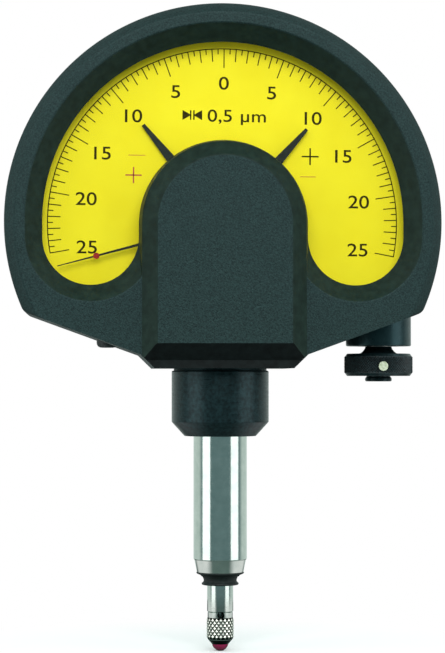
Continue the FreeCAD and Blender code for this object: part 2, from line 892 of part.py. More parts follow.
pieces["marker_left"] = marker(marker_left_angle, left_setting_angle, left_front, left_back)
pieces["marker_right"] = marker(marker_right_angle, right_setting_angle, right_front, right_back)
pieces["marker_washer"] = washer(0, 0, boss_radius + 0.8, boss_bore, washer_front, right_front - 0.05)


# Setting arbors of the markers, with a pinion in front and a key slot behind
def setting_arbor(side, y0, y1):
    x, z = setting_places[side]
    shaft_front = plate_front - 0.4
    end = back_face + setting_length
    body = disc(x, z, setting_radius, shaft_front, end).fuse(disc(x, z, 0.8, y1, shaft_front))
    angle = math.degrees(math.atan2(-z, -x))
    body = body.fuse(pinion(x, z, setting_teeth, marker_module, angle, y0, y1))
    slot = block(x - setting_radius, x + setting_radius, end - 0.8, end + 1, z - 0.25, z + 0.25)
    return body.cut(slot).removeSplitter()


pieces["marker_arbor_left"] = setting_arbor("left", left_front - 0.02, left_back + 0.02)
pieces["marker_arbor_right"] = setting_arbor("right", right_front - 0.02, right_back + 0.02)


# Dial, a fan that covers the window while it turns, and the slotted lug on its back
def dial():
    low_corner = 110.5
    inner_corner = 123.5
    inner_radius = dial_radius - dial_corner_cut
    rim = [polar(dial_radius, low_corner), polar(dial_radius, 0), polar(dial_radius, -low_corner)]
    sides = lines(
        [rim[2], polar(inner_radius, -inner_corner), spot(0, 0), polar(inner_radius, inner_corner), rim[0]]
    )
    fan = slab(loop([arc(rim[0], rim[1], rim[2])] + sides), dial_front, dial_back)
    body = fan.fuse(disc(0, 0, dial_hub, dial_front, dial_back))
    return body.cut(disc(0, 0, dial_bore, dial_front - 1, dial_back + 1)).removeSplitter()


pieces["dial"] = dial()
lug_back = plate_front - 0.3
lug_slot = nut_pin + 2 * running
lug_half = lug_slot + 0.9
lug = block(adjuster_x - 1.6, adjuster_x + 1.6, dial_back, lug_back, -lug_half, lug_half)
lug_hole = block(adjuster_x - 1.1, adjuster_x + 2, dial_back + 0.2, lug_back + 1, -lug_slot, lug_slot)
pieces["dial_lug"] = lug.cut(lug_hole)
pieces["dial_keeper"] = washer(
    0, 0, dial_bore + 1.0, dial_bore - boss_wall, keeper_front, dial_front - dial_gap
)

# Nut that rides on the adjuster's thread and carries the dial's lug by a pin
nut_front = plate_back + 2 * running
nut_half = nut_width / 2
nut = block(adjuster_x - nut_half, adjuster_x + nut_half, nut_front, nut_half, -nut_height / 2, nut_height / 2)
nut = nut.cut(post(adjuster_x, 0, thread_radius + 2 * running, -nut_height, nut_height))
pieces["adjuster_nut"] = nut.fuse(disc(adjuster_x, 0, nut_pin, dial_back + 0.35, nut_front))

# Bush in the adjuster's boss, and the turning shaft with its clip
bush_top = -adjuster_drop + adjuster_bush_length
pieces["adjuster_bush"] = tube(
    adjuster_x, 0, bush_radius, shaft_radius + 2 * running, -adjuster_drop, bush_top
)
shaft_top = adjuster_x * math.radians(dial_swing) + nut_height / 2 + 0.6
shaft_shoulder = bush_top + 0.05
pieces["adjuster_screw"] = turned(
    [
        (0, knob_bottom),
        (shaft_radius, knob_bottom),
        (shaft_radius, shaft_shoulder),
        (0, shaft_shoulder),
    ],
    adjuster_x,
).fuse(post(adjuster_x, 0, thread_radius, shaft_shoulder, shaft_top))
pieces["shaft_clip"] = tube(
    adjuster_x, 0, shaft_radius + 0.9, thread_radius, shaft_shoulder, shaft_shoulder + 0.5
)


# Knurled knob with a flared neck: a turned core with a toothed band between its chamfers
def fine_adjust_knob():
    neck_end = -adjuster_drop - 0.06
    core = knob_radius - knob_tooth_depth
    blank = turned(
        [
            (shaft_radius, knob_bottom),
            (knob_radius - knob_chamfer, knob_bottom),
            (core, knob_bottom + knob_chamfer),
            (core, knob_top - knob_chamfer),
            (knob_radius - knob_chamfer, knob_top),
            (neck_flare, knob_top),
            (shaft_radius + 0.2, neck_end - 0.3),
            (shaft_radius + 0.2, neck_end),
            (shaft_radius, neck_end),
        ]
    )
    points = []
    for index in range(knob_teeth * 2):
        turn = math.pi * index / knob_teeth
        reach = knob_radius if index % 2 else core
        points.append(Vector(reach * math.cos(turn), reach * math.sin(turn), knob_bottom + knob_chamfer))
    band = Part.Face(polygon(points)).extrude(Vector(0, 0, knob_height - 2 * knob_chamfer))
    knob = blank.fuse(band.cut(post(0, 0, shaft_radius, knob_bottom, knob_top)))
    knob.translate(Vector(adjuster_x, 0, 0))
    return knob


dot_angle = math.radians(9.3)
dot_place = Vector(math.sin(dot_angle), -math.cos(dot_angle), 0)
dot_seat = knob_radius - knob_tooth_depth - 0.4
dot = Part.makeCylinder(
    index_dot_radius,
    knob_radius - dot_seat,
    dot_place * dot_seat + Vector(adjuster_x, 0, (knob_top + knob_bottom) / 2),
    dot_place,
)
pieces["fine_adjust_knob"] = fine_adjust_knob().cut(dot)
pieces["index_dot"] = dot
cap_radius = 2.0
cap = turned(
    [
        (0, knob_bottom - screw_drop),
        (cap_radius - 0.2, knob_bottom - screw_drop),
        (cap_radius, knob_bottom - screw_drop + 0.2),
        (cap_radius, knob_bottom),
        (0, knob_bottom),
    ],
    adjuster_x,
)
cap_slot = block(adjuster_x - 3, adjuster_x + 3, -0.25, 0.25, knob_bottom - 2, knob_bottom - screw_drop + 0.4)
pieces["knob_cap_screw"] = cap.cut(cap_slot)


# Gear sector on its arbor: hub, two spokes and a toothed rim
def gear_sector():
    x, z = sector_place
    tooth_pitch = 360.0 / (gear_ratio * pinion_teeth)
    teeth = gear_ratio * pinion_teeth
    last = mesh_angle + 2 * tooth_pitch - tooth_pitch / 2
    first = last - (sector_teeth - 1) * tooth_pitch
    outline = gear_outline(x, z, teeth, module, first, sector_teeth)
    rim_inner = sector_radius - 1.8
    start = math.radians(first - tooth_pitch * 0.6)
    stop = math.radians(last + tooth_pitch * 0.6)
    root = sector_radius - 1.1 * module

    def at(radius, turn):
        return spot(x + radius * math.cos(turn), z + radius * math.sin(turn))

    rim = [at(rim_inner, start), at(root, start)] + outline + [at(root, stop), at(rim_inner, stop)]
    middle = at(rim_inner, (start + stop) / 2)
    edges = lines(rim) + [arc(rim[-1], middle, rim[0])]
    body = slab(loop(edges), sector_front, sector_back)
    spoke = 0.6
    for turn in (start, stop):
        side = spot(-math.sin(turn) * spoke, math.cos(turn) * spoke)
        lean = 1 if turn == start else -1
        corners = [at(0, turn), at(rim_inner + 0.5, turn)]
        corners += [corners[1] + side * lean * 2, corners[0] + side * lean * 2]
        body = body.fuse(slab(polygon(corners), sector_front, sector_back))
    body = body.fuse(disc(x, z, 2.0, sector_front, sector_back))
    return body.cut(disc(x, z, arbor_radius, sector_front - 1, sector_back + 1)).removeSplitter()


pieces["gear_sector"] = gear_sector()
pieces["sector_arbor"] = arbor(sector_place[0], sector_place[1], plate_front + 0.1, pivot_radius)

# Lever from the transfer pin's jewel to the sector's short arm, along the line of the two arbors
lever_run = math.hypot(sector_place[0] - lever_place[0], sector_place[1] - lever_place[1])
lever_reach = lever_run - sector_arm
lever_turn = math.atan2(sector_place[1] - lever_place[1], sector_place[0] - lever_place[0])


def along(distance, above, y=0.0):
    """A point beside the line from the lever's arbor to the sector's arbor."""
    ux, uz = math.cos(lever_turn), math.sin(lever_turn)
    return spot(lever_place[0] + ux * distance + uz * above, lever_place[1] + uz * distance - ux * above, y)


lever_half_depth = lever_thickness / 2
tip_top = -pin_radius - 0.01
lever_outline = polygon(
    [
        along(0, 1.1),
        along(lever_reach - 3.0, 0.2),
        along(lever_reach - 1.5, tip_top),
        along(lever_reach + 0.8, tip_top),
        along(lever_reach + 0.8, tip_top - 0.5),
        along(lever_reach - 2.0, -lever_half),
        along(1.2, -lever_half),
    ]
)
lever = slab(lever_outline, -lever_half_depth, lever_half_depth)
lever = lever.fuse(disc(lever_place[0], lever_place[1], 1.3, -lever_half_depth, lever_half_depth))
lever = lever.cut(disc(lever_place[0], lever_place[1], arbor_radius, -2, 2))
pallet_top = pin_top + pallet_drop + 0.3
pallet = post(0, 0, 0.5, pin_top, pallet_top)
pieces["transfer_lever"] = lever.cut(post(0, 0, 0.5, pin_top - 2, pallet_top)).removeSplitter()
pieces["pallet_jewel"] = pallet
pieces["lever_arbor"] = arbor(lever_place[0], lever_place[1], plate_front + 0.1, pivot_radius)

# Short arm of the sector with the pin that the lever pushes
arm_front = lever_half_depth + 0.4
arm_back = arm_front + 0.7
arm_end = along(lever_reach, 0)
arm_shape = joined(
    [
        disc(sector_place[0], sector_place[1], 1.1, arm_front, arm_back),
        disc(arm_end.x, arm_end.z, 0.7, arm_front, arm_back),
        slab(
            polygon(
                [
                    along(lever_reach, 0.7),
                    along(lever_reach + sector_arm, 0.7),
                    along(lever_reach + sector_arm, -0.7),
                    along(lever_reach, -0.7),
                ]
            ),
            arm_front,
            arm_back,
        ),
    ]
)
arm_shape = arm_shape.cut(disc(sector_place[0], sector_place[1], arbor_radius, 0, 3))
pieces["sector_arm"] = arm_shape.fuse(
    disc(arm_end.x, arm_end.z, pin_radius, -lever_half_depth, arm_front)
).removeSplitter()


# Stop pins on the front plate, one at each end of the sector's swing
def sector_stops():
    x, z = sector_place
    pitch = 360.0 / (gear_ratio * pinion_teeth)
    last = mesh_angle + 2 * pitch
    first = last - (sector_teeth + 0.2) * pitch
    radius = 12.0
    clear = math.degrees(0.62 / radius)
    swing = 2 * sector_lead
    low = math.radians(first - clear)
    high = math.radians(last + swing + clear + 0.4)
    return Part.makeCompound(
        [
            disc(x + radius * math.cos(t), z + radius * math.sin(t), 0.5, plate_back, sector_back + 0.2)
            for t in (low, high)
        ]
    )


pieces["sector_stops"] = sector_stops()


# Hairspring, a flat spiral ribbon from the collet to a stud on the rear plate
def hairspring():
    steps = 14
    count = hairspring_turns * steps
    half = 0.04
    inside, outside = [], []
    for index in range(count + 1):
        turn = 2 * math.pi * index / steps
        radius = hairspring_inner + (hairspring_outer - hairspring_inner) * index / count
        inside.append(spot((radius - half) * math.sin(turn), (radius - half) * math.cos(turn)))
        outside.append(spot((radius + half) * math.sin(turn), (radius + half) * math.cos(turn)))
    return slab(polygon(outside + inside[::-1]), hairspring_front, hairspring_front + hairspring_width)


pieces["hairspring"] = hairspring()
stud_radius = 0.5
stud_z = hairspring_outer + 0.04 + stud_radius
pieces["hairspring_stud"] = disc(0, stud_z, stud_radius, hairspring_front - 0.2, rear_plate_front)

# Plug in the unused socket of the lifting cable
plug_outer = slant_height(plug_x) - plug_proud
plug_inner = slant_height(plug_x) + wall
pieces["lifter_plug"] = post(plug_x, 0, plug_radius, plug_outer, plug_inner)

os.makedirs("parts", exist_ok=True)
for name, shape in pieces.items():
    shape.translate(Vector(0, 0, dial_height))
    shape.exportStep("parts/" + name + ".step")
    print(name, shape.isValid(), len(shape.Solids), round(shape.Volume, 3))
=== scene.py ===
import json
import math
import bmesh
import bpy
from mathutils import Matrix, Vector


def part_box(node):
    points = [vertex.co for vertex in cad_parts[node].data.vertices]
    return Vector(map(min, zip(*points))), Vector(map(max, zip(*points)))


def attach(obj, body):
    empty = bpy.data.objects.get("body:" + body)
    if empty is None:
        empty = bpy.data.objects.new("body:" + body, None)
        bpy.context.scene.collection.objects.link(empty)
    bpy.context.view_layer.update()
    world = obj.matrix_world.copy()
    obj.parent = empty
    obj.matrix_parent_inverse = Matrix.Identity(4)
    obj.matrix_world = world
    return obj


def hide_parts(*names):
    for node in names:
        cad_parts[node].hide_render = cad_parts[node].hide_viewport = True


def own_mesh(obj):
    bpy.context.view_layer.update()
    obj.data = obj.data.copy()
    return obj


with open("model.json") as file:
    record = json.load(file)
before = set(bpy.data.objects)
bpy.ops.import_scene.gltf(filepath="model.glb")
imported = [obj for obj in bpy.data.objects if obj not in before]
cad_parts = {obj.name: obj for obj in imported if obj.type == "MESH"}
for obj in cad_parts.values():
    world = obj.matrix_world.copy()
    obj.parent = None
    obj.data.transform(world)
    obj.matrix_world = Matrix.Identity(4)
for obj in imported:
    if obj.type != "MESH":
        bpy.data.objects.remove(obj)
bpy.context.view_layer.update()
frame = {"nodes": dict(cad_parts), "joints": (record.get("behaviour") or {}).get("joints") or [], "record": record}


# Front housing
# One aluminium die casting with the horseshoe window, milled where it meets other parts and stove
# enamelled in a satin black that keeps the fine grain of the casting.
# Pieces are drawn in millimetres about the dial's centre, x to the right, y to the back, z up.
turn_joint = next(joint for joint in frame["joints"] if joint["name"] == "pointer_turn")
dial_center = Vector(turn_joint["pos_m"])
housing_radius = 32.0
corner_drop = 13.25
shoulder = (12.2, -19.4)
foot = (10.15, -21.4)
corner_round = 1.6
corner_steps = 10
ring_face = -11.5
rim_chamfer = 1.4
rim_soft = 0.25
soft_middle = (0.046, 0.019)
soft_end = 0.177
housing_back = 6.5
wall = 2.6
movement_front = -4.8
window_radius = 26.47
tongue_radius = 12.4
lobe_drop = 2.2
window_bevel = 2.5
crystal_front = -8.9
ledge_width = 1.43
fine_edge = 0.13
arc_steps = 176
lobe_steps = 72
merging = 0.0005


def linear(code):
    """Turn an sRGB hex colour into the linear colour of a shader."""
    parts = [int(code[index : index + 2], 16) / 255 for index in (1, 3, 5)]
    return [
        part / 12.92 if part <= 0.04045 else ((part + 0.055) / 1.055) ** 2.4 for part in parts
    ] + [1.0]


def add_node(tree, kind, inputs=None, **settings):
    """Add a shader node, and set or link its inputs. A node given there means its first output."""
    node = tree.nodes.new(kind)
    for name, value in settings.items():
        setattr(node, name, value)
    for name, value in (inputs or {}).items():
        if isinstance(value, bpy.types.Node):
            value = value.outputs[0]
        if isinstance(value, bpy.types.NodeSocket):
            tree.links.new(value, node.inputs[name])
        else:
            node.inputs[name].default_value = value
    return node


def speckle(tree, cell, detail=2.0, rough=0.5, along=1.0):
    """Pattern with cells of a size in millimetres, drawn out round the axis where along is small."""
    place = add_node(tree, "ShaderNodeTexCoord").outputs["Object"]
    scale = (1000 * along, 1000 * along, 1000)
    millimetres = add_node(tree, "ShaderNodeMapping", {"Vector": place, "Scale": scale})
    cells = {"Vector": millimetres, "Scale": 1 / cell, "Detail": detail, "Roughness": rough}
    return add_node(tree, "ShaderNodeTexNoise", cells)


def finish(name, color, metallic, roughness, specular=0.5, mottle=None, wear=None, relief=None):
    """A material from its base values and its patterns.

    mottle starts with two colours, wear with the lowest and highest roughness, and relief with a
    depth in millimetres. Each goes on with the cell, detail, roughness and along of its speckle.
    """
    material = bpy.data.materials.new(name)
    material.use_nodes = True
    tree = material.node_tree
    shader = tree.nodes["Principled BSDF"]
    shader.inputs["Base Color"].default_value = linear(color)
    shader.inputs["Metallic"].default_value = metallic
    shader.inputs["Roughness"].default_value = roughness
    shader.inputs["Specular IOR Level"].default_value = specular
    if mottle:
        ramp = add_node(tree, "ShaderNodeValToRGB", {"Fac": speckle(tree, *mottle[2:])})
        for element, position, shade in zip(ramp.color_ramp.elements, (0.3, 0.7), mottle):
            element.position = position
            element.color = linear(shade)
        tree.links.new(ramp.outputs["Color"], shader.inputs["Base Color"])
    if wear:
        limits = {"From Min": 0.3, "From Max": 0.7, "To Min": wear[0], "To Max": wear[1]}
        uneven = add_node(tree, "ShaderNodeMapRange", {"Value": speckle(tree, *wear[2:])} | limits)
        tree.links.new(uneven.outputs["Result"], shader.inputs["Roughness"])
    if relief:
        height = {"Height": speckle(tree, *relief[1:]), "Distance": relief[0] / 1000}
        bump = add_node(tree, "ShaderNodeBump", height)
        tree.links.new(bump.outputs["Normal"], shader.inputs["Normal"])
    return material


def set_socket(material, socket, value):
    """Set one more value on a material's shader."""
    material.node_tree.nodes["Principled BSDF"].inputs[socket].default_value = value


def grow(bm, vert, x, y, z):
    """Extend a drawn line from its last vertex to a point."""
    made = bmesh.ops.extrude_vert_indiv(bm, verts=[vert])
    made["verts"][0].co = (x, y, z)
    return made["verts"][0]


def sweep(bm, vert, center, degrees, steps):
    """Extend a drawn line from its last vertex along an arc that faces the front."""
    made = bmesh.ops.spin(
        bm, geom=[vert], cent=center, axis=(0, 1, 0), angle=math.radians(degrees), steps=steps
    )
    return next(item for item in made["geom_last"] if isinstance(item, bmesh.types.BMVert))


def closed_line(bm, draw, *sizes):
    """Edges of the closed line that a drawing function adds."""
    before = set(bm.edges)
    draw(bm, *sizes)
    return [edge for edge in bm.edges if edge not in before]


def push(bm, made, y=0.0, z=0.0):
    """Move what an extrusion has added."""
    added = [item for item in made["geom"] if isinstance(item, bmesh.types.BMVert)]
    bmesh.ops.translate(bm, vec=(0, y, z), verts=added)


def crisp(bm, degrees=30, flat_sides=14):
    """Smooth shading with crisp edges; large flat faces stay flat."""
    bmesh.ops.recalc_face_normals(bm, faces=bm.faces)
    for face in bm.faces:
        face.smooth = len(face.verts) < flat_sides
    for edge in bm.edges:
        edge.smooth = len(edge.link_faces) == 2 and edge.calc_face_angle() < math.radians(degrees)


def flatten(bm, y):
    """Flat shading for the faces in the plane y."""
    for face in bm.faces:
        if abs(face.calc_center_median().y - y) < 0.001:
            face.smooth = False


def in_place(bm, name):
    """Turn a drawing into an object, in metres and in its place."""
    bmesh.ops.scale(bm, vec=(0.001, 0.001, 0.001), verts=bm.verts)
    bmesh.ops.translate(bm, vec=dial_center, verts=bm.verts)
    mesh = bpy.data.meshes.new(name)
    bm.to_mesh(mesh)
    bm.free()
    made = bpy.data.objects.new(name, mesh)
    bpy.context.scene.collection.objects.link(made)
    return made


def piece(bm, name, material, body, slot, *nodes):
    """Turn a drawing into a piece of the object, with its material, body and nodes."""
    made = in_place(bm, name)
    made.data.materials.append(material)
    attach(made, body)
    if nodes:
        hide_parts(*nodes)
    return made


def corner_center(radius):
    """Centre of the small arc that rounds the corner between the big arc and the right slope."""
    corner = Vector((math.sqrt(housing_radius**2 - corner_drop**2), -corner_drop))
    along = (Vector(shoulder) - corner).normalized()
    inward = Vector((along.y, -along.x))
    start = corner + inward * corner_round
    middle = start.dot(along)
    reach = math.sqrt(middle**2 - start.length_squared + (radius - corner_round) ** 2)
    return start - along * (middle + reach), inward


def draw_outline(bm, y, radius=housing_radius):
    """The housing's outline: the big arc, the rounded corners, the two slopes and the foot."""
    small, inward = corner_center(radius)
    big_angle = math.degrees(math.atan2(-small.y, small.x))
    small_angle = math.degrees(math.atan2(inward.y, -inward.x)) - big_angle
    tip = small.normalized() * radius
    first = bm.verts.new((tip.x, y, tip.y))
    last = sweep(bm, first, (0, y, 0), -180 - 2 * big_angle, arc_steps)
    last = sweep(bm, last, (-small.x, y, small.y), -small_angle, corner_steps)
    for x, z in ((-shoulder[0], shoulder[1]), (-foot[0], foot[1]), foot, shoulder):
        last = grow(bm, last, x, y, z)
    end = small - inward * corner_round
    last = grow(bm, last, end.x, y, end.y)
    sweep(bm, last, (small.x, y, small.y), -small_angle, corner_steps)
    bmesh.ops.remove_doubles(bm, verts=bm.verts, dist=merging)


def draw_window(bm, widening, y):
    """The horseshoe: the big arc, and a round lobe on each side of the tongue."""
    radius = window_radius + widening
    lobe = (window_radius - tongue_radius) / 2 + widening
    lobe_x = (window_radius + tongue_radius) / 2
    first = bm.verts.new((radius, y, 0))
    last = sweep(bm, first, (0, y, 0), -180, arc_steps)
    last = grow(bm, last, -radius, y, -lobe_drop)
    last = sweep(bm, last, (-lobe_x, y, -lobe_drop), -180, lobe_steps)
    last = grow(bm, last, lobe_x - lobe, y, -lobe_drop)
    last = sweep(bm, last, (lobe_x, y, -lobe_drop), -180, lobe_steps)
    bm.edges.new((last, first))


def outline_block(bm, front, back):
    """Solid block with the housing's outline."""
    bmesh.ops.contextual_create(bm, geom=closed_line(bm, draw_outline, front))
    push(bm, bmesh.ops.extrude_face_region(bm, geom=bm.faces[:]), y=back - front)
    bmesh.ops.recalc_face_normals(bm, faces=bm.faces)


def end_face(bm, y):
    """The large face that closes a block in the plane y."""
    ends = [face for face in bm.faces if abs(face.calc_center_median().y - y) < 0.01]
    return max(ends, key=lambda face: face.calc_area())


# Outer shell: a block opened at the back to the wall's thickness. The lathe chamfers the round rim
# only, so the slopes below keep a square edge.
rim_end = ring_face + rim_chamfer
turned_rim = [
    (soft_middle[0], rim_end + soft_middle[1]),
    (soft_end, rim_end - soft_end),
    (rim_chamfer - soft_end, ring_face + soft_end),
    (rim_chamfer + soft_middle[1], ring_face + soft_middle[0]),
    (rim_chamfer + rim_soft, ring_face),
]
bm = bmesh.new()
outline_block(bm, rim_end + rim_soft, housing_back)
bmesh.ops.inset_region(bm, faces=[end_face(bm, housing_back)], thickness=wall, use_even_offset=True)
back = end_face(bm, housing_back)
push(bm, bmesh.ops.extrude_face_region(bm, geom=[back]), y=movement_front - housing_back)
bmesh.ops.delete(bm, geom=[back], context="FACES_ONLY")
front = end_face(bm, rim_end + rim_soft)
hollow = end_face(bm, movement_front)
mouth = list(front.edges)
inside = list(hollow.edges)
bmesh.ops.delete(bm, geom=[front, hollow], context="FACES_ONLY")
for cut, y in turned_rim:
    following = closed_line(bm, draw_outline, y, housing_radius - cut)
    bmesh.ops.bridge_loops(bm, edges=mouth + following)
    mouth = following

# Window: from the ring face over the bevel to the crystal's ledge and back to the movement
window_steps = [
    (window_bevel + fine_edge, ring_face),
    (window_bevel + fine_edge * 0.2, ring_face + fine_edge * 0.25),
    (window_bevel - fine_edge * 0.6, ring_face + fine_edge * 0.9),
    (0.05, crystal_front - 0.05),
    (0, crystal_front),
    (ledge_width, crystal_front),
    (ledge_width, movement_front),
]
# The bevel rows take the darker enamel, whose colour is painted shade
bevel_rows = (2, 3)
rings = [closed_line(bm, draw_window, widening, y) for widening, y in window_steps]
for row, (ring, following) in enumerate(zip(rings, rings[1:])):
    made = bmesh.ops.bridge_loops(bm, edges=ring + following)
    for face in made["faces"]:
        face.material_index = 1 if row in bevel_rows else 0
bmesh.ops.triangle_fill(bm, use_beauty=True, edges=mouth + rings[0])
bmesh.ops.triangle_fill(bm, use_beauty=True, edges=inside + rings[-1])
crisp(bm, 24)
flatten(bm, ring_face)

# Satin black stove enamel over a die casting: dark green-grey, with the casting's pale speckle
enamel = finish(
    "satin_black_stove_enamel", "#22302f", 0.0, 0.5, 0.22,
    mottle=("#060f0f", "#223635", 0.22, 3.0, 0.7),
    wear=(0.46, 0.56, 2.2),
    relief=(0.05, 0.26, 2.0, 0.6),
)
set_socket(enamel, "Specular Tint", linear("#dcffff"))
# The same enamel over a turned or milled bevel: smoother, without the casting's grain, and darker, which is
# painted shade
bevel_enamel_with_painted_shade = finish(
    "satin_enamel_painted_darker_on_bevel", "#16221b", 0.0, 0.5, 0.1,
    mottle=("#13211c", "#1d2e28", 1.2, 3.0),
    wear=(0.44, 0.54, 1.6),
    relief=(0.015, 0.3, 2.0, 0.6),
)
casting = piece(bm, "front_casting", enamel, "housing", "housing_enamel", "front_housing")
# Second material: the bevel enamel, painted darker as shade
casting.data.materials.append(bevel_enamel_with_painted_shade)


# Tongue of the casting
# The raised middle of the front casting, which covers the pointer's hub. Its flanks slope down to
# the dial, its foot is milled at a steeper slope, and the corners of the foot are cut off.
tongue_top = -13.5
tongue_drop = 0.35
tongue_foot = -17.8
tongue_steps = 128
foot_slope = 3.6 / 2.9
overlap = 0.02
flank = [
    (9.75, tongue_top),
    (9.9, tongue_top + 0.035),
    (10.02, tongue_top + 0.12),
    (11.95, ring_face - 0.03),
]
skirt = [(11.98, ring_face - overlap), (12.12, -10.62), (tongue_radius, crystal_front)]


def draw_tongue(bm, radius, y, bottom):
    """The tongue's outline: an arch on two upright sides."""
    first = bm.verts.new((radius, y, bottom))
    last = grow(bm, first, radius, y, -tongue_drop)
    last = sweep(bm, last, (0, y, -tongue_drop), -180, tongue_steps)
    last = grow(bm, last, -radius, y, bottom)
    bm.edges.new((last, first))


bm = bmesh.new()
rings = []
for radius, y in flank:
    rings.append(closed_line(bm, draw_tongue, radius, y, tongue_foot - (y - tongue_top) * foot_slope))
for radius, y in skirt:
    rings.append(closed_line(bm, draw_tongue, radius, y, foot[1] + overlap))
for ring, following in zip(rings, rings[1:]):
    bmesh.ops.bridge_loops(bm, edges=ring + following)
bmesh.ops.contextual_create(bm, geom=rings[0])
bmesh.ops.contextual_create(bm, geom=rings[-1])
for side in (-1, 1):
    across = Vector((side * (shoulder[1] - foot[1]), 0, foot[0] - shoulder[0])).normalized()
    made = bmesh.ops.bisect_plane(
        bm,
        geom=bm.verts[:] + bm.edges[:] + bm.faces[:],
        plane_co=Vector((side * foot[0], 0, foot[1])) - across * overlap,
        plane_no=across,
        clear_outer=True,
    )
    cut = [item for item in made["geom_cut"] if isinstance(item, bmesh.types.BMEdge)]
    bmesh.ops.contextual_create(bm, geom=cut)
# Flanks take the bevel enamel, and the foot's downward faces a darker copy of the enamel that is painted shade
for face in bm.faces:
    face.material_index = 0 if len(face.verts) > 14 else 1
    if face.calc_center_median().z < tongue_foot and abs(face.normal.x) < 0.3:
        face.material_index = 2
crisp(bm, 24)
# The milled foot takes a darker copy of the enamel: painted shade, for its faces turn down and away from the lamps
foot_painted_shade_enamel = finish(
    "enamel_with_painted_foot_shade", "#0b1010", 0.0, 0.5, 0.1,
    mottle=("#090e0e", "#121919", 1.2, 3.0),
    relief=(0.015, 0.3, 2.0, 0.6),
)
casting_tongue = piece(bm, "casting_tongue", enamel, "housing", "housing_enamel")
casting_tongue.data.materials.append(bevel_enamel_with_painted_shade)
casting_tongue.data.materials.append(foot_painted_shade_enamel)


# Boss of the fine adjuster
# The casting's round boss for the adjuster's bush. It is turned, so its enamel lies smooth and has
# more gloss than the rest of the casting.
adjuster_x = 23.9
boss_radius = 4.9
boss_bottom = -18.04
boss_top = -13.6


def rod(bm, radius, length, sides, place):
    """A round bar with closed ends, about its middle."""
    bmesh.ops.create_cone(
        bm, cap_ends=True, segments=sides, radius1=radius, radius2=radius, depth=length, matrix=place
    )


bm = bmesh.new()
boss_place = Matrix.Translation((adjuster_x, 0, (boss_top + boss_bottom) / 2))
rod(bm, boss_radius, boss_top - boss_bottom, 96, boss_place)
lip = [edge for edge in bm.edges if all(abs(vert.co.z - boss_bottom) < 0.001 for vert in edge.verts)]
bmesh.ops.bevel(bm, geom=lip, offset=0.2, segments=3, profile=0.5, affect="EDGES", material=-1)
crisp(bm)
# Semi-gloss enamel on a turned boss: near black, with a soft upright band of light
gloss_enamel = finish(
    "semi_gloss_enamel_on_turned_boss", "#141d1e", 0.0, 0.3,
    mottle=("#0c181a", "#142527", 0.8),
    wear=(0.27, 0.36, 1.0),
    relief=(0.006, 0.5),
)
set_socket(gloss_enamel, "Specular Tint", linear("#b4f4ff"))
piece(bm, "adjuster_boss", gloss_enamel, "housing", "housing_enamel")


# Rear cover
# A machined aluminium plate with a lip inside the housing's wall, enamelled like the housing.
# Four slotted screws hold it, and two small holes let a key reach the tolerance markers.
cover_back = 9.5
cover_chamfer = 1.0
cover_gap = 0.04
screw_seat = 1.6
screw_sink = 1.4
screw_inset = 4.2
screw_angles = (-40, -105, 40, 105)
key_hole = 1.5
key_reach = 7.6
key_angles = (120, 158)
hole_steps = 40


def around(radius, degrees):
    """Place (x, z) at an angle that is clockwise from the top of the dial."""
    return radius * math.sin(math.radians(degrees)), radius * math.cos(math.radians(degrees))


def edges_at(bm, y):
    """Edges that lie in the plane y."""
    return [edge for edge in bm.edges if all(abs(vert.co.y - y) < 0.002 for vert in edge.verts)]


def draw_hole(bm, x, y, z, radius):
    """A full circle in the plane y."""
    first = bm.verts.new((x + radius, y, z))
    sweep(bm, first, (x, y, z), 360, hole_steps)
    bmesh.ops.remove_doubles(bm, verts=bm.verts, dist=merging)


bm = bmesh.new()
chamfer_start = cover_back - cover_chamfer
outline_block(bm, housing_back + cover_gap, chamfer_start)
bmesh.ops.inset_region(
    bm,
    faces=[end_face(bm, chamfer_start)],
    thickness=cover_chamfer,
    depth=cover_chamfer,
    use_even_offset=True,
)
rims = edges_at(bm, cover_back) + edges_at(bm, chamfer_start)
bmesh.ops.bevel(bm, geom=rims, offset=fine_edge, segments=2, profile=0.5, affect="EDGES", material=-1)
back = end_face(bm, cover_back)
mouth = list(back.edges)
bmesh.ops.delete(bm, geom=[back], context="FACES_ONLY")
screw_places = [around(housing_radius - screw_inset, degrees) for degrees in screw_angles]
openings = [(x, z, screw_seat) for x, z in screw_places]
openings += [(*around(key_reach, degrees), key_hole) for degrees in key_angles]
holes = [closed_line(bm, draw_hole, x, cover_back, z, radius) for x, z, radius in openings]
bmesh.ops.triangle_fill(bm, use_beauty=True, edges=mouth + [edge for hole in holes for edge in hole])
for hole in holes:
    made = bmesh.ops.extrude_edge_only(bm, edges=hole)
    push(bm, made, y=-screw_sink)
    rim = [item for item in made["geom"] if isinstance(item, bmesh.types.BMEdge)]
    bmesh.ops.contextual_create(bm, geom=rim)
crisp(bm)
flatten(bm, cover_back)
piece(bm, "rear_plate_cover", enamel, "housing", "housing_enamel", "rear_cover")


# Cover screws
# Four slotted cheese-head screws of turned and tumbled steel, sunk into the rear cover.
# The heads are left bright and carry fine turning marks. Their slots stand at different angles.
head_radius = 1.45
head_height = 1.2
head_face = cover_back - 0.1
head_span = 2.2
slot_half = 0.25
slot_depth = 0.45
slot_turn = 3


def turn(bm, verts, degrees, axis):
    """Turn vertices about an axis through the dial's centre."""
    spun = Matrix.Rotation(math.radians(degrees), 3, axis)
    bmesh.ops.rotate(bm, cent=(0, 0, 0), matrix=spun, verts=verts)


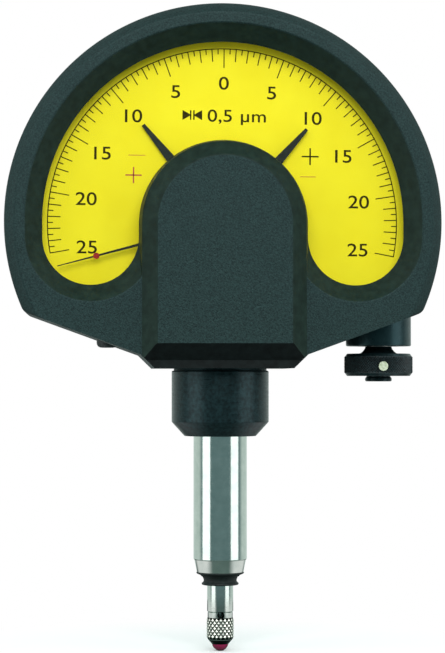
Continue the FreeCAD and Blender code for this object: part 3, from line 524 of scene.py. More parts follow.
bm = bmesh.new()
for x, z in screw_places:
    disc = bmesh.ops.create_circle(bm, cap_ends=True, radius=head_radius, segments=48)["verts"]
    turn(bm, disc, 90, "X")
    turn(bm, disc, slot_turn * x, "Y")
    bmesh.ops.translate(bm, vec=(x, head_face, z), verts=disc)
    faces = [face for face in bm.faces if face.verts[0] in disc]
    push(bm, bmesh.ops.extrude_face_region(bm, geom=faces), y=-head_height)
for x, z in screw_places:
    across = Matrix.Rotation(math.radians(slot_turn * x), 3, "Y") @ Vector((0, 0, 1))
    middle = Vector((x, head_face, z))
    for side in (-1, 1):
        faces = [face for face in bm.faces if (face.calc_center_median() - middle).length < head_span]
        edges = {edge for face in faces for edge in face.edges}
        verts = {vert for face in faces for vert in face.verts}
        bmesh.ops.bisect_plane(
            bm,
            geom=list(verts) + list(edges) + faces,
            plane_co=middle + across * side * slot_half,
            plane_no=across,
        )
    strip = [face for face in bm.faces if (face.calc_center_median() - middle).length < 0.1]
    push(bm, bmesh.ops.extrude_face_region(bm, geom=strip), y=-slot_depth)
    bmesh.ops.delete(bm, geom=strip, context="FACES_ONLY")
crisp(bm)
# Turned screw steel: bright grey, with rings of tool marks that blur its reflections
screw_steel = finish(
    "turned_screw_steel", "#a8aaa8", 1.0, 0.3,
    wear=(0.24, 0.4, 0.4),
    relief=(0.01, 0.25),
)
piece(bm, "cover_screw_heads", screw_steel, "housing", "screw_steel", "cover_screws")


# Collar
# A turned steel collar under the housing, which the stem is pressed into. It is blackened in a
# hot oxide bath, so it has a soft metallic sheen and faint turning lines round it.
collar_radius = 7.285
collar_bottom = -31.5
collar_top = -21.4
spigot_radius = 4.72
spigot_height = 2.6
collar_bore = 3.8


def turned(profile, steps=96, x=0.0):
    """Spin a profile of (radius, height) points about an upright axis, from top to bottom."""
    bm = bmesh.new()
    last = bm.verts.new((profile[0][0], 0, profile[0][1]))
    for radius, height in profile[1:]:
        last = grow(bm, last, radius, 0, height)
    bmesh.ops.spin(
        bm,
        geom=bm.verts[:] + bm.edges[:],
        cent=(0, 0, 0),
        axis=(0, 0, 1),
        angle=math.tau,
        steps=steps,
        use_merge=True,
    )
    bmesh.ops.remove_doubles(bm, verts=bm.verts, dist=merging)
    crisp(bm, 25)
    bmesh.ops.translate(bm, vec=(x, 0, 0), verts=bm.verts)
    return bm


collar_profile = [
    (spigot_radius, collar_top + spigot_height),
    (spigot_radius, collar_top + 0.02),
    (6.95, collar_top + 0.02),
    (6.98, collar_top - 0.3),
    (7.2, collar_top - 0.36),
    (collar_radius, collar_top - 0.5),
    (collar_radius, collar_bottom + 2.2),
    (collar_radius - 0.03, collar_bottom + 2.1),
    (collar_radius - 0.1, collar_bottom + 2.0),
    (collar_radius - 1.84, collar_bottom + 0.08),
    (collar_radius - 1.94, collar_bottom),
    (collar_bore, collar_bottom),
    (collar_bore, collar_top + spigot_height),
    (spigot_radius, collar_top + spigot_height),
]
# Black oxide on turned steel: nearly black, semi-metallic sheen, fine rings of tool marks
tool_rings = (0.22, 3.0, 0.5, 0.08)
oxide = finish(
    "black_oxide_turned_steel", "#17272a", 0.55, 0.32, 0.3,
    mottle=("#132123", "#213639", 0.5),
    wear=(0.26, 0.37, *tool_rings),
    relief=(0.012, *tool_rings),
)
bm = turned(collar_profile, 128)
piece(bm, "stem_collar_ring", oxide, "housing", "collar_black", "stem_collar")


# Stem
# The 8 mm clamping stem, turned from hardened steel, ground and polished. It ends in a short
# cone, whose lower edge holds the bellows.
stem_radius = 4.0
stem_bore = 3.0
stem_top = collar_bottom - 0.01
stem_bottom = -50.0
cone_end = -51.87
stem_profile = [
    (stem_radius, stem_top),
    (stem_radius, stem_bottom + 0.15),
    (stem_radius - 0.06, stem_bottom + 0.05),
    (stem_radius - 0.14, stem_bottom),
    (3.5, cone_end + 0.05),
    (3.45, cone_end),
    (stem_bore, cone_end),
    (stem_bore, stem_bottom),
    (stem_bore, stem_top),
    (stem_radius, stem_top),
]
# Ground and polished stem steel: bright, sharp reflections, and hair-fine grinding rings, drawn
# coarser than they are so that they show
grinding_rings = (0.12, 4.0, 0.6, 0.05)
ground_steel = finish(
    "ground_polished_steel", "#c3ccc6", 1.0, 0.1,
    mottle=("#bcc6c0", "#cbd2cc", 1.4),
    wear=(0.08, 0.17, *grinding_rings),
    relief=(0.0012, *grinding_rings),
)
bm = turned(stem_profile, 160)
piece(bm, "clamping_stem", ground_steel, "housing", "ground_steel", "stem")


# Bellows and its ring
# A moulded black rubber bellows keeps dust out of the spindle's guide. Its ring sits under the
# stem's cone, its lower lip grips the spindle, and its waist folds up into the stem.
bellows_bottom = -53.77
bellows_top = cone_end + 5.37
bellows_bore = 1.96
sleeve_radius = 2.7
ring_bore = 2.82
ring_top = cone_end + 0.01
ring_profile = [
    (stem_bore, ring_top),
    (3.46, ring_top),
    (3.57, cone_end - 0.05),
    (3.575, cone_end - 0.13),
    (3.5, cone_end - 0.2),
    (3.3, cone_end - 0.3),
    (3.08, cone_end - 0.37),
    (2.9, cone_end - 0.5),
    (2.85, cone_end - 0.6),
    (ring_bore, cone_end - 0.6),
    (ring_bore, ring_top),
    (stem_bore, ring_top),
]
# Matt black rubber: deep black, dull, with the faint skin of the mould
rubber = finish(
    "moulded_black_rubber", "#0f1817", 0.0, 0.6, 0.3,
    mottle=("#0a1211", "#14201f", 0.6),
    wear=(0.5, 0.68, 0.4),
    relief=(0.01, 0.2),
)
bm = turned(ring_profile)
piece(bm, "bellows_ring", rubber, "housing", "collar_black", "bellows_flange")

waist_profile = [
    (bellows_bore, bellows_top),
    (sleeve_radius, bellows_top),
    (sleeve_radius, cone_end + 0.2),
    (sleeve_radius, cone_end - 0.6),
    (2.64, cone_end - 0.72),
    (2.54, cone_end - 0.92),
    (2.48, cone_end - 1.12),
    (2.48, cone_end - 1.34),
    (2.58, cone_end - 1.5),
    (2.74, cone_end - 1.62),
    (2.78, cone_end - 1.72),
    (2.74, bellows_bottom + 0.05),
    (2.6, bellows_bottom),
    (bellows_bore, bellows_bottom),
    (bellows_bore, bellows_top),
]
bm = turned(waist_profile)
bellows = piece(bm, "rubber_bellows", rubber, "spindle_group", "bellows_rubber", "bellows")
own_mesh(bellows)


# Spindle
# The measuring spindle, a hardened steel rod, ground and lapped to run in the ball guide.
# Only its end shows under the bellows. The transfer pin and its spring sit in a bore at the top.
spindle_radius = 1.95
spindle_top = -18.0
spindle_end = -57.77
spindle_bore = 1.25
spindle_edge = 0.1
pole = 0.001
spring_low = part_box("overtravel_spring")[0]
bore_floor = (spring_low.z - dial_center.z) * 1000 - 0.02
spindle_profile = [
    (pole, bore_floor),
    (spindle_bore, bore_floor),
    (spindle_bore, spindle_top),
    (spindle_radius - spindle_edge, spindle_top),
    (spindle_radius, spindle_top - spindle_edge),
    (spindle_radius, spindle_end + spindle_edge),
    (spindle_radius - spindle_edge, spindle_end),
    (pole, spindle_end),
]
bm = turned(spindle_profile)
piece(bm, "measuring_spindle", ground_steel, "spindle_group", "ground_steel", "spindle")


# Contact point
# A screw-in contact point of hardened steel, with a plain neck, a cross hole for the spanner pin
# and a diamond knurl, rounded off at the end where the ruby ball is set.
neck_radius = 1.875
knurl_radius = 2.05
knurl_top = -58.62
knurl_bottom = -61.85
seat_bottom = -62.58
diamonds_round = 18
diamond_rows = 8
diamond_depth = 0.16
core_radius = knurl_radius - diamond_depth - 0.02
pin_hole_radius = 0.55
pin_hole_height = -58.2
pin_hole_depth = 1.4


def knurl(bm, radius, low, high, diamonds, rows, depth):
    """Ring of small pyramids: a cylinder's grid whose every other point is pushed in."""
    made = bmesh.ops.create_cone(
        bm,
        segments=diamonds * 2,
        radius1=radius,
        radius2=radius,
        depth=high - low,
        matrix=Matrix.Translation((0, 0, (low + high) / 2)),
    )
    edges = {edge for vert in made["verts"] for edge in vert.link_edges}
    uprights = [edge for edge in edges if abs(edge.verts[0].co.z - edge.verts[1].co.z) > 0.1]
    bmesh.ops.subdivide_edges(bm, edges=uprights, cuts=rows - 1, use_grid_fill=True)
    height = (high - low) / rows
    shrink = (radius - depth) / radius
    valleys = []
    for vert in bm.verts:
        row = round((vert.co.z - low) / height)
        column = round(math.atan2(vert.co.y, vert.co.x) * diamonds / math.pi)
        if (row + column) % 2 or row in (0, rows):
            vert.co.x *= shrink
            vert.co.y *= shrink
            valleys.append(vert)
    bmesh.ops.connect_verts(bm, verts=valleys)
    bmesh.ops.recalc_face_normals(bm, faces=bm.faces)


def darken_hollows(material, low, high, dark, bright):
    """Colour by the distance from the upright axis, darker nearer it: painted shade for holes, grooves and tapers.
    """
    tree = material.node_tree
    place = add_node(tree, "ShaderNodeTexCoord").outputs["Object"]
    level = add_node(tree, "ShaderNodeMapping", {"Vector": place, "Scale": (1000, 1000, 0)})
    distance = add_node(tree, "ShaderNodeVectorMath", {0: level}, operation="LENGTH").outputs["Value"]
    limits = {"Value": distance, "From Min": low, "From Max": high}
    depth = add_node(tree, "ShaderNodeMapRange", limits)
    ramp = add_node(tree, "ShaderNodeValToRGB", {"Fac": depth})
    ramp.color_ramp.elements[0].color = linear(dark)
    ramp.color_ramp.elements[1].color = linear(bright)
    tree.links.new(ramp.outputs["Color"], tree.nodes["Principled BSDF"].inputs["Base Color"])


neck_profile = [
    (pole, spindle_end - 0.01),
    (neck_radius - 0.08, spindle_end - 0.01),
    (neck_radius, spindle_end - 0.09),
    (neck_radius, knurl_top + 0.06),
    (core_radius, knurl_top - 0.05),
    (core_radius, knurl_bottom),
    (1.79, knurl_bottom - 0.12),
    (1.6, knurl_bottom - 0.34),
    (1.4, knurl_bottom - 0.55),
    (1.26, seat_bottom),
    (0.9, seat_bottom),
    (pole, seat_bottom + 0.5),
]
# Ground contact steel: bright like the stem, a little duller, with painted shade inside the spanner's hole and on
# the taper down to the ball
contact_steel = finish("ground_contact_steel", "#c3ccc6", 1.0, 0.14, wear=(0.12, 0.22, 0.3))
darken_hollows(contact_steel, neck_radius - 0.1, neck_radius - 0.02, "#141a18", "#c3ccc6")
bm = turned(neck_profile, 72)
neck = piece(bm, "contact_neck", contact_steel, "spindle_group", "ground_steel", "contact_point")
# Hole for the spanner's pin, drilled into the neck from the front
bm = bmesh.new()
hole_place = Matrix.Translation((0, -neck_radius, pin_hole_height))
crosswise = Matrix.Rotation(math.radians(90), 4, "X")
rod(bm, pin_hole_radius, 2 * pin_hole_depth, hole_steps, hole_place @ crosswise)
drill = in_place(bm, "drill")
drilling = neck.modifiers.new("drilling", "BOOLEAN")
drilling.operation = "DIFFERENCE"
drilling.object = drill
drilled = bpy.data.meshes.new_from_object(neck.evaluated_get(bpy.context.evaluated_depsgraph_get()))
neck.modifiers.remove(drilling)
neck.data = drilled
bpy.data.objects.remove(drill)

bm = bmesh.new()
knurl(bm, knurl_radius, knurl_bottom, knurl_top, diamonds_round, diamond_rows, diamond_depth)
# Knurled contact steel: bright peaks, and grooves painted dark as shade
knurl_steel = finish("knurled_contact_steel", "#d5d8d0", 1.0, 0.3, wear=(0.24, 0.4, 0.3))
groove = knurl_radius - diamond_depth
darken_hollows(knurl_steel, groove, knurl_radius - diamond_depth * 0.3, "#0e1412", "#f0f2e6")
piece(bm, "contact_knurl", knurl_steel, "spindle_group", "ground_steel")


# Ruby ball
# A synthetic ruby ball, lapped round and cemented into the contact point. It is a clear crimson
# that looks dark against the steel.
ball_radius = 1.25
ball_center = seat_bottom + 0.19
bm = bmesh.new()
bmesh.ops.create_icosphere(
    bm, subdivisions=4, radius=ball_radius, matrix=Matrix.Translation((0, 0, ball_center))
)
crisp(bm, 60)
# Lapped synthetic ruby: saturated crimson, with a glassy shine
ruby = finish(
    "lapped_synthetic_ruby", "#8a0c42", 0.0, 0.08,
    mottle=("#7c0a3a", "#980f4c", 0.8),
    relief=(0.001, 0.5),
)
set_socket(ruby, "IOR", 1.77)
piece(bm, "ruby_contact_ball", ruby, "spindle_group", "ruby", "ruby_ball")


# Fine adjuster's knob
# A turned steel knob with a flared neck and a knurled band, blackened like the collar. It turns
# the screw that tilts the dial. A screw holds it from below, and an enamelled dot marks it.
knob_radius = 5.175
knob_top = -19.16
knob_bottom = -22.52
knob_edge = 0.4
tooth_depth = 0.14
band_radius = knob_radius - tooth_depth - 0.02
knob_profile = [
    (pole, boss_bottom - 0.06),
    (1.98, boss_bottom - 0.06),
    (2.0, -18.25),
    (2.12, -18.5),
    (2.36, -18.8),
    (2.66, -19.04),
    (2.9, knob_top),
    (knob_radius - knob_edge - 0.1, knob_top),
    (knob_radius - knob_edge, knob_top - 0.04),
    (band_radius, knob_top - knob_edge),
    (band_radius, knob_bottom + knob_edge),
    (knob_radius - knob_edge, knob_bottom + 0.04),
    (knob_radius - knob_edge - 0.1, knob_bottom),
    (pole, knob_bottom),
]
bm = turned(knob_profile, x=adjuster_x)
piece(bm, "adjuster_knob", oxide, "knob_group", "knob_steel", "fine_adjust_knob")

knob_diamonds = 80
knob_rows = 12
bm = bmesh.new()
band_low, band_high = knob_bottom + knob_edge, knob_top - knob_edge
knurl(bm, knob_radius, band_low, band_high, knob_diamonds, knob_rows, tooth_depth)
bmesh.ops.translate(bm, vec=(adjuster_x, 0, 0), verts=bm.verts)
# Blackened knurl: black oxide with peaks rubbed a little paler by the fingers
knurl_oxide = finish(
    "blackened_knurl", "#151d1d", 0.3, 0.42,
    mottle=("#0a1314", "#1f3033", 0.45, 3.0, 0.6),
    wear=(0.36, 0.52, 0.3),
)
piece(bm, "adjuster_knurl", knurl_oxide, "knob_group", "knob_steel")

# Index dot, a drop of cream enamel in a drilled recess on the knob's rim
dot_radius = 0.7
dot_turn = 1.1
dot_height = -21.05
bm = bmesh.new()
bmesh.ops.create_circle(bm, cap_ends=True, radius=dot_radius, segments=48)
bmesh.ops.inset_region(bm, faces=bm.faces[:], thickness=0.12, depth=0.05, use_even_offset=True)
crown = max(bm.faces, key=lambda face: len(face.verts))
bmesh.ops.inset_region(bm, faces=[crown], thickness=0.2, depth=0.03)
rim = [edge for edge in bm.edges if len(edge.link_faces) == 1]
push(bm, bmesh.ops.extrude_edge_only(bm, edges=rim), z=-0.3)
crisp(bm, 50, 64)
turn(bm, bm.verts, 90, "X")
bmesh.ops.translate(bm, vec=(0, -knob_radius + 0.02, 0), verts=bm.verts)
turn(bm, bm.verts, dot_turn, "Z")
bmesh.ops.translate(bm, vec=(adjuster_x, 0, dot_height), verts=bm.verts)
# Cream enamel: soft greenish white, glossy, slightly uneven where it was dropped in
cream = finish(
    "cream_enamel_drop", "#c4ceb2", 0.0, 0.4,
    mottle=("#a9b795", "#d3dcc4", 0.35),
    relief=(0.01, 0.4),
)
piece(bm, "knob_index_dot", cream, "knob_group", "dot_cream", "index_dot")

# End screw of the knob, a low turned head with a dished lower face
end_screw_profile = [
    (pole, knob_bottom + 0.02),
    (1.8, knob_bottom + 0.02),
    (1.8, knob_bottom - 0.1),
    (1.98, knob_bottom - 0.3),
    (2.02, knob_bottom - 0.55),
    (1.96, knob_bottom - 0.76),
    (1.8, knob_bottom - 0.82),
    (1.2, knob_bottom - 0.8),
    (pole, knob_bottom - 0.76),
]
bm = turned(end_screw_profile, 72, adjuster_x)
piece(bm, "knob_end_screw", oxide, "knob_group", "screw_steel", "knob_cap_screw")


# Lifter socket's plug
# A small moulded nylon plug closes the unused socket of the lifting lever, under the left slope
# of the housing. It stands a little proud of the enamel.
plug_low, plug_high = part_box("lifter_plug")
plug_x = (plug_low.x + plug_high.x) / 2 * 1000
plug_bottom = (plug_low.z - dial_center.z) * 1000
plug_profile = [
    (1.6, plug_bottom + 3.0),
    (1.64, plug_bottom + 0.75),
    (1.58, plug_bottom + 0.45),
    (1.42, plug_bottom + 0.2),
    (1.15, plug_bottom + 0.05),
    (0.8, plug_bottom),
    (pole, plug_bottom),
]
# Moulded black nylon: dark grey, dull, with the fine texture of the mould
nylon = finish(
    "moulded_black_nylon", "#121918", 0.0, 0.55,
    mottle=("#131c1c", "#233030", 0.5),
    relief=(0.012, 0.25),
)
bm = turned(plug_profile, 56, plug_x)
piece(bm, "socket_plug", nylon, "housing", "plug_black", "lifter_plug")


# Dial
# A flat aluminium disc, sprayed and baked in satin yellow. Its scale, figures and signs are
# printed in black and red ink. The fine adjuster tilts it, and here it stands a little clockwise.
ink_lift = 0.012
dial_front = (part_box("dial")[0].y - dial_center.y) * 1000
ink_face = dial_front - ink_lift
dial_tilt = 0.45
arc_radius = 25.83
line_width = 0.15
five_tick = 2.9
unit_tick = 1.95
half_tick = 0.87
scale_units = 25
degrees_per_unit = 4.02
figure_height = 1.95
figure_weight = 0.018
figure_widening = 1.2
figure_reach = 20.72
figure_shortening = 0.016
capital_share = 0.72
unit_height = 1.85
unit_spread = 1.02
unit_place = (1.95, 15.9)
sign_x = -4.62
sign_size = 0.86
sign_gap = 1.02
bar_gap = 0.24
bar_size = (0.2, 1.4)
black_strokes = [(2.5, 0.22, 12.86, 9.99), (0.22, 2.5, 12.86, 9.99)]
red_strokes = [
    (2.4, 0.2, -13.2, 6.92),
    (0.2, 2.4, -13.2, 6.92),
    (2.3, 0.09, 12.55, 6.99),
    (2.5, 0.09, -12.74, 9.86),
]


def ink_line(bm, width, length):
    """A flat printed line, upright, about its middle."""
    line = bmesh.ops.create_grid(bm, x_segments=1, y_segments=1, size=0.5)["verts"]
    turn(bm, line, 90, "X")
    bmesh.ops.scale(bm, vec=(width, 1, length), verts=line)
    return line


def ink_text(bm, words, height, spread=1.0):
    """Printed figures of a wide, engraved style, about their middle."""
    curve = bpy.data.curves.new("figures", "FONT")
    curve.body = words
    curve.size = height / capital_share
    curve.offset = figure_weight
    curve.space_character = spread
    curve.align_x = "CENTER"
    holder = bpy.data.objects.new("figures", curve)
    mesh = bpy.data.meshes.new_from_object(holder)
    before = set(bm.verts)
    bm.from_mesh(mesh)
    added = [vert for vert in bm.verts if vert not in before]
    bpy.data.objects.remove(holder)
    bpy.data.meshes.remove(mesh)
    bpy.data.curves.remove(curve)
    turn(bm, added, 90, "X")
    bmesh.ops.scale(bm, vec=(figure_widening, 1, 1), verts=added)
    xs = [vert.co.x for vert in added]
    bmesh.ops.translate(bm, vec=(-(max(xs) + min(xs)) / 2, 0, -height / 2), verts=added)
    return added


def print_at(bm, verts, x, z):
    """Move new ink to its place on the dial."""
    bmesh.ops.translate(bm, vec=(x, ink_face, z), verts=verts)


# Scale: the arc, a tick for each half unit, and figures every five units
bm = bmesh.new()
start = bm.verts.new((0, ink_face, arc_radius))
end = bm.verts.new((0, ink_face, arc_radius - line_width))
band = bm.edges.new((start, end))
half_sweep = scale_units * degrees_per_unit
turn(bm, [start, end], -half_sweep, "Y")
whole = math.radians(2 * half_sweep)
bmesh.ops.spin(
    bm, geom=[start, end, band], cent=(0, 0, 0), axis=(0, 1, 0), angle=whole, steps=160
)
for half_units in range(-2 * scale_units, 2 * scale_units + 1):
    length = half_tick
    if half_units % 10 == 0:
        length = five_tick
    elif half_units % 2 == 0:
        length = unit_tick
    degrees = half_units * degrees_per_unit / 2
    line = ink_line(bm, line_width, length)
    turn(bm, line, degrees, "Y")
    print_at(bm, line, *around(arc_radius - length / 2, degrees))
for value in range(0, scale_units + 1, 5):
    for side in (-1, 1) if value else (1,):
        reach = figure_reach - figure_shortening * value
        figure = ink_text(bm, str(value), figure_height)
        print_at(bm, figure, *around(reach, side * value * degrees_per_unit))
print_at(bm, ink_text(bm, "0,5 µm", unit_height, unit_spread), *unit_place)
for side in (-1, 1):
    arrow = bmesh.ops.create_circle(bm, cap_ends=True, radius=sign_size, segments=3)["verts"]
    turn(bm, arrow, 90, "X")
    turn(bm, arrow, -90 * side, "Y")
    print_at(bm, arrow, sign_x + side * sign_gap, unit_place[1])
    print_at(bm, ink_line(bm, *bar_size), sign_x + side * bar_gap, unit_place[1])
for width, length, x, z in black_strokes:
    print_at(bm, ink_line(bm, width, length), x, z)
turn(bm, bm.verts, dial_tilt, "Y")
# Printed black ink: brown-black, dull, a little thin at its edges
black_ink = finish(
    "printed_black_ink", "#322c08", 0.0, 0.6, 0.05,
    mottle=("#2a2406", "#3b340a", 0.3),
)
piece(bm, "dial_black_print", black_ink, "dial_group", "dial_yellow")

bm = bmesh.new()
for width, length, x, z in red_strokes:
    print_at(bm, ink_line(bm, width, length), x, z)
turn(bm, bm.verts, dial_tilt, "Y")
# Printed red ink: a dull brick red, thin enough for the yellow to warm it
red_ink = finish("printed_red_ink", "#b2381a", 0.0, 0.5, mottle=("#a52d16", "#bf4a1e", 0.3))
piece(bm, "dial_red_print", red_ink, "dial_group", "dial_yellow")

# Baked yellow paint: satin, even, with the faintest mottling of the spray
yellow = finish(
    "baked_satin_yellow", "#f3e41e", 0.0, 0.55, 0.12,
    mottle=("#efdd1a", "#f3e321", 6.0),
    wear=(0.5, 0.6, 0.8),
    relief=(0.003, 0.15),
)


# Pointer
# The pointer is a thin aluminium blade that tapers to its tip, punched with its hub and its
# counterweight and anodised black. A dot of red enamel marks it near the figures.
pointer_low, pointer_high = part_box("pointer")
pointer_front = (pointer_low.y - dial_center.y) * 1000
pointer_back = (pointer_high.y - dial_center.y) * 1000
pointer_angle = -104.9
pointer_tip = 25.15
pointer_tail = -7.5
tip_half = 0.07
tail_half = 0.42
hub_radius = 1.1
weight_radius = 0.8
red_dot_radius = 0.47
red_dot_reach = 19.25
blade = [
    (-tail_half, pointer_tail),
    (-tip_half, pointer_tip),
    (tip_half, pointer_tip),
    (tail_half, pointer_tail),
]
thickness = pointer_back - pointer_front
bm = bmesh.new()
bmesh.ops.contextual_create(bm, geom=[bm.verts.new((x, pointer_front, z)) for x, z in blade])
push(bm, bmesh.ops.extrude_face_region(bm, geom=bm.faces[:]), y=thickness)
for radius, height in ((hub_radius, 0), (weight_radius, pointer_tail)):
    middle = Matrix.Translation((0, (pointer_front + pointer_back) / 2, height))
    rod(bm, radius, thickness - 0.01, 48, middle @ crosswise)
turn(bm, bm.verts, pointer_angle, "Y")
crisp(bm)
# Black anodised blade: satin, nearly black, with a trace of green
anodised = finish(
    "black_anodised_blade", "#0f1a12", 0.0, 0.45, 0.2,
    mottle=("#0a130c", "#142017", 0.5),
    relief=(0.004, 0.2),
)
piece(bm, "pointer_blade", anodised, "pointer_group", "pointer_black", "pointer")

bm = bmesh.new()
bmesh.ops.create_circle(bm, cap_ends=True, radius=red_dot_radius, segments=40)
bmesh.ops.inset_region(bm, faces=bm.faces[:], thickness=0.12, depth=0.04, use_even_offset=True)
crisp(bm, 60, 64)
turn(bm, bm.verts, 90, "X")
dot_x, dot_z = around(red_dot_reach, pointer_angle)
bmesh.ops.translate(bm, vec=(dot_x, pointer_front - 0.01, dot_z), verts=bm.verts)
# Red enamel dot: a deep, slightly uneven red with a soft shine
red_enamel = finish(
    "red_enamel_dot", "#95200f", 0.0, 0.45, 0.2,
    mottle=("#85190c", "#a32713", 0.3),
)
piece(bm, "pointer_red_dot", red_enamel, "pointer_group", "pointer_black")


# Finishes of the parts whose shape is the source's own
# The crystal, the dial's disc, the tolerance markers and everything inside the case keep their
# solids, and take the finish of the metal, glass, paint or jewel that they are made of.

# Brushed brass of the movement's plates and wheels: warm, with fine tool marks
brass = finish(
    "brushed_movement_brass", "#b8914c", 1.0, 0.33,
    mottle=("#ad8743", "#c29b57", 1.2),
    wear=(0.26, 0.4, 0.4),
    relief=(0.006, 0.24),
)
# Blued spring steel: grey with a trace of blue, and smoother than the brass
spring_steel = finish(
    "blued_spring_steel", "#6d7076", 1.0, 0.28,
    mottle=("#62656c", "#7b7e84", 0.9),
    wear=(0.22, 0.34, 0.3),
    relief=(0.004, 0.18),
)
# Polished crystal: clear glass that only adds a faint reflection over the dial
crystal = bpy.data.materials.new("clear_polished_crystal")
crystal.use_nodes = True
tree = crystal.node_tree
tree.nodes.remove(tree.nodes["Principled BSDF"])
mirror = add_node(tree, "ShaderNodeBsdfGlossy", {"Roughness": 0.02, "Color": (1, 1, 1, 1)})
clear = add_node(tree, "ShaderNodeBsdfTransparent", {"Color": (0.985, 0.99, 0.985, 1)})
edge_on = add_node(tree, "ShaderNodeFresnel", {"IOR": 1.2})
inner_side = add_node(tree, "ShaderNodeNewGeometry").outputs["Backfacing"]
outer_side = add_node(tree, "ShaderNodeMath", {0: 1.0, 1: inner_side}, operation="SUBTRACT")
gloss = add_node(tree, "ShaderNodeMath", {0: edge_on, 1: outer_side}, operation="MULTIPLY")
glass = add_node(tree, "ShaderNodeMixShader", {0: gloss, 1: clear, 2: mirror})
tree.links.new(glass.outputs["Shader"], tree.nodes["Material Output"].inputs["Surface"])

finishes = {
    "housing_enamel": enamel,
    "collar_black": oxide,
    "crystal": crystal,
    "ground_steel": ground_steel,
    "screw_steel": screw_steel,
    "spring_steel": spring_steel,
    "movement_brass": brass,
    "ruby": ruby,
    "dial_yellow": yellow,
    "pointer_black": anodised,
    "marker_black": anodised,
    "bellows_rubber": rubber,
    "knob_steel": oxide,
    "dot_cream": cream,
    "plug_black": nylon,
}
for part in frame["record"]["subparts"]:
    for holder in frame["nodes"][part["node"]].material_slots:
        holder.material = finishes[part["material_slot"]]


# Studio
# A disc of white paper under the object, two tall soft boxes at the sides, a large soft box above
# and in front, and a camera on a level with the foot of the housing.
paper_radius = 75.0
bm = bmesh.new()
bmesh.ops.create_circle(bm, cap_ends=True, radius=paper_radius, segments=128)
bmesh.ops.translate(bm, vec=(0, 0, ball_center - ball_radius), verts=bm.verts)
floor = in_place(bm, "studio_floor")
# White paper: the camera sees it matt near the object, where it takes the shadow, and plain white
# further off. It throws less light back than it shows, as a sheet in a dark studio does.
paper = bpy.data.materials.new("white_paper_sweep")
paper.use_nodes = True
tree = paper.node_tree
shader = tree.nodes["Principled BSDF"]
shader.inputs["Roughness"].default_value = 0.9
shader.inputs["Specular IOR Level"].default_value = 0.0
rays = add_node(tree, "ShaderNodeLightPath")
camera_ray = rays.outputs["Is Camera Ray"]
spot = add_node(tree, "ShaderNodeTexCoord").outputs["Object"]
far = add_node(tree, "ShaderNodeVectorMath", {0: spot}, operation="LENGTH").outputs["Value"]
outward = add_node(tree, "ShaderNodeMapRange", {"Value": far, "From Min": 0.035, "From Max": 0.055})
bounced = add_node(
    tree,
    "ShaderNodeMix",
    {0: outward, 6: linear("#70807c"), 7: linear("#4c5856")},
    data_type="RGBA",
).outputs[2]
shade = add_node(
    tree, "ShaderNodeMix", {0: camera_ray, 6: bounced, 7: linear("#fcfcfc")}, data_type="RGBA"
).outputs[2]
tree.links.new(shade, shader.inputs["Base Color"])
away = add_node(
    tree,
    "ShaderNodeMapRange",
    {"Value": far, "From Min": 0.025, "From Max": 0.05},
    interpolation_type="SMOOTHSTEP",
)
share = add_node(tree, "ShaderNodeMath", {0: away, 1: camera_ray}, operation="MULTIPLY")
# Painted reflection: to glossy rays the paper glows plain white at the left and right, before the side boxes, so
# that polished steel shows bright bands
across = add_node(tree, "ShaderNodeSeparateXYZ", {"Vector": spot})
sideways = add_node(tree, "ShaderNodeMath", {0: across}, operation="ABSOLUTE")
bearing = add_node(tree, "ShaderNodeMath", {0: sideways, 1: far}, operation="DIVIDE")
sides = add_node(tree, "ShaderNodeMapRange", {"Value": bearing, "From Min": 0.5, "From Max": 0.75})
clear_of_foot = add_node(
    tree, "ShaderNodeMapRange", {"Value": far, "From Min": 0.006, "From Max": 0.014}
)
painted_side_glow = add_node(tree, "ShaderNodeMath", {0: sides, 1: clear_of_foot}, operation="MULTIPLY")
glossy_ray = rays.outputs["Is Glossy Ray"]
painted_reflection_share = add_node(tree, "ShaderNodeMath", {0: painted_side_glow, 1: glossy_ray}, operation="MULTIPLY")
white_share = add_node(tree, "ShaderNodeMath", {0: share, 1: painted_reflection_share}, operation="MAXIMUM")
glow = add_node(tree, "ShaderNodeEmission")
sheet = add_node(tree, "ShaderNodeMixShader", {0: white_share, 1: shader, 2: glow})
# The paper's underside is left open, so that the object can be looked at from below
underside = add_node(tree, "ShaderNodeNewGeometry").outputs["Backfacing"]
nothing = add_node(tree, "ShaderNodeBsdfTransparent")
one_sided = add_node(tree, "ShaderNodeMixShader", {0: underside, 1: sheet, 2: nothing})
tree.links.new(one_sided.outputs["Shader"], tree.nodes["Material Output"].inputs["Surface"])
floor.data.materials.append(paper)

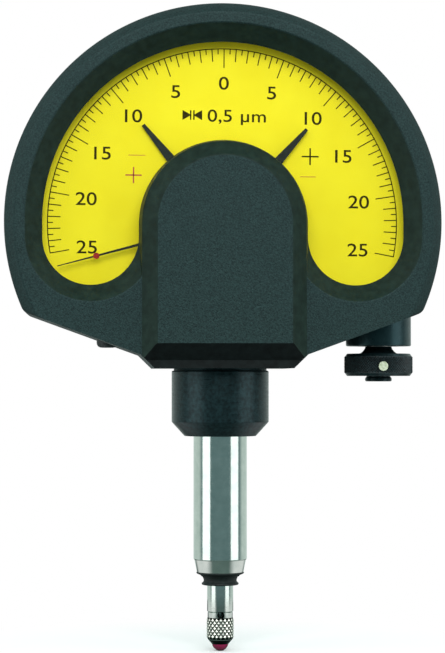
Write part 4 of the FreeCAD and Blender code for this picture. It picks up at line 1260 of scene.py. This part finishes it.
# World: white where the camera looks, and a studio that is dark in front and pale behind
world = bpy.data.worlds.new("studio")
bpy.context.scene.world = world
world.use_nodes = True
tree = world.node_tree
camera_ray = add_node(tree, "ShaderNodeLightPath").outputs["Is Camera Ray"]
direction = add_node(tree, "ShaderNodeTexCoord").outputs["Generated"]
parts = add_node(tree, "ShaderNodeSeparateXYZ", {"Vector": direction})
behind = add_node(
    tree, "ShaderNodeMapRange", {"Value": parts.outputs["Y"], "From Min": -0.04, "From Max": 0.28}
)
room = add_node(
    tree,
    "ShaderNodeMix",
    {0: behind, 6: linear("#6f8a8c"), 7: linear("#dceae5")},
    data_type="RGBA",
).outputs[2]
below = add_node(
    tree,
    "ShaderNodeMapRange",
    {"Value": parts.outputs["Z"], "From Min": -0.5, "From Max": -0.12, "To Min": 0.15},
)
shaded_room = add_node(tree, "ShaderNodeVectorMath", {0: room, "Scale": below}, operation="SCALE")
seen = add_node(
    tree, "ShaderNodeMix", {0: camera_ray, 6: shaded_room, 7: (1, 1, 1, 1)}, data_type="RGBA"
).outputs[2]
tree.links.new(seen, tree.nodes["Background"].inputs["Color"])

aim_height = 0.02


def soft_box(name, azimuth, height, distance, width, tall, watts):
    """Area lamp at an azimuth from the camera's side, turned to the object."""
    lamp = bpy.data.lights.new(name, "AREA")
    lamp.shape = "RECTANGLE"
    lamp.size = width
    lamp.size_y = tall
    lamp.energy = watts
    holder = bpy.data.objects.new(name, lamp)
    bpy.context.scene.collection.objects.link(holder)
    x, forward = around(distance, azimuth)
    holder.location = (x, -forward, height)
    aim = Vector((0, 0, aim_height)) - holder.location
    holder.rotation_euler = aim.to_track_quat("-Z", "Y").to_euler()


soft_box("left_soft_box", -66, 0.1, 0.6, 0.42, 1.6, 3.6)
soft_box("right_soft_box", 62.5, 0.1, 0.6, 0.42, 1.6, 3.4)
soft_box("top_soft_box", 0, 0.53, 0.9, 1.0, 0.64, 10.2)

# Camera: a long lens on a level with the housing's foot, a little from the left
camera_distance = 0.33
camera_azimuth = -3.3
eye_level = 0.0178
view_up = 1.352
shift_right = 0.00035
lens = bpy.data.cameras.new("photograph")
lens.sensor_fit = "VERTICAL"
lens.sensor_height = 36.0
lens.lens = 121.1
lens.clip_start = 0.01
camera = bpy.data.objects.new("photograph", lens)
bpy.context.scene.collection.objects.link(camera)
camera_x, forward = around(camera_distance, camera_azimuth)
camera.location = (camera_x + shift_right, -forward, eye_level)
camera.rotation_euler = (math.radians(90 + view_up), 0, math.radians(camera_azimuth))
bpy.context.scene.camera = camera
bpy.context.scene.view_settings.view_transform = "Standard"
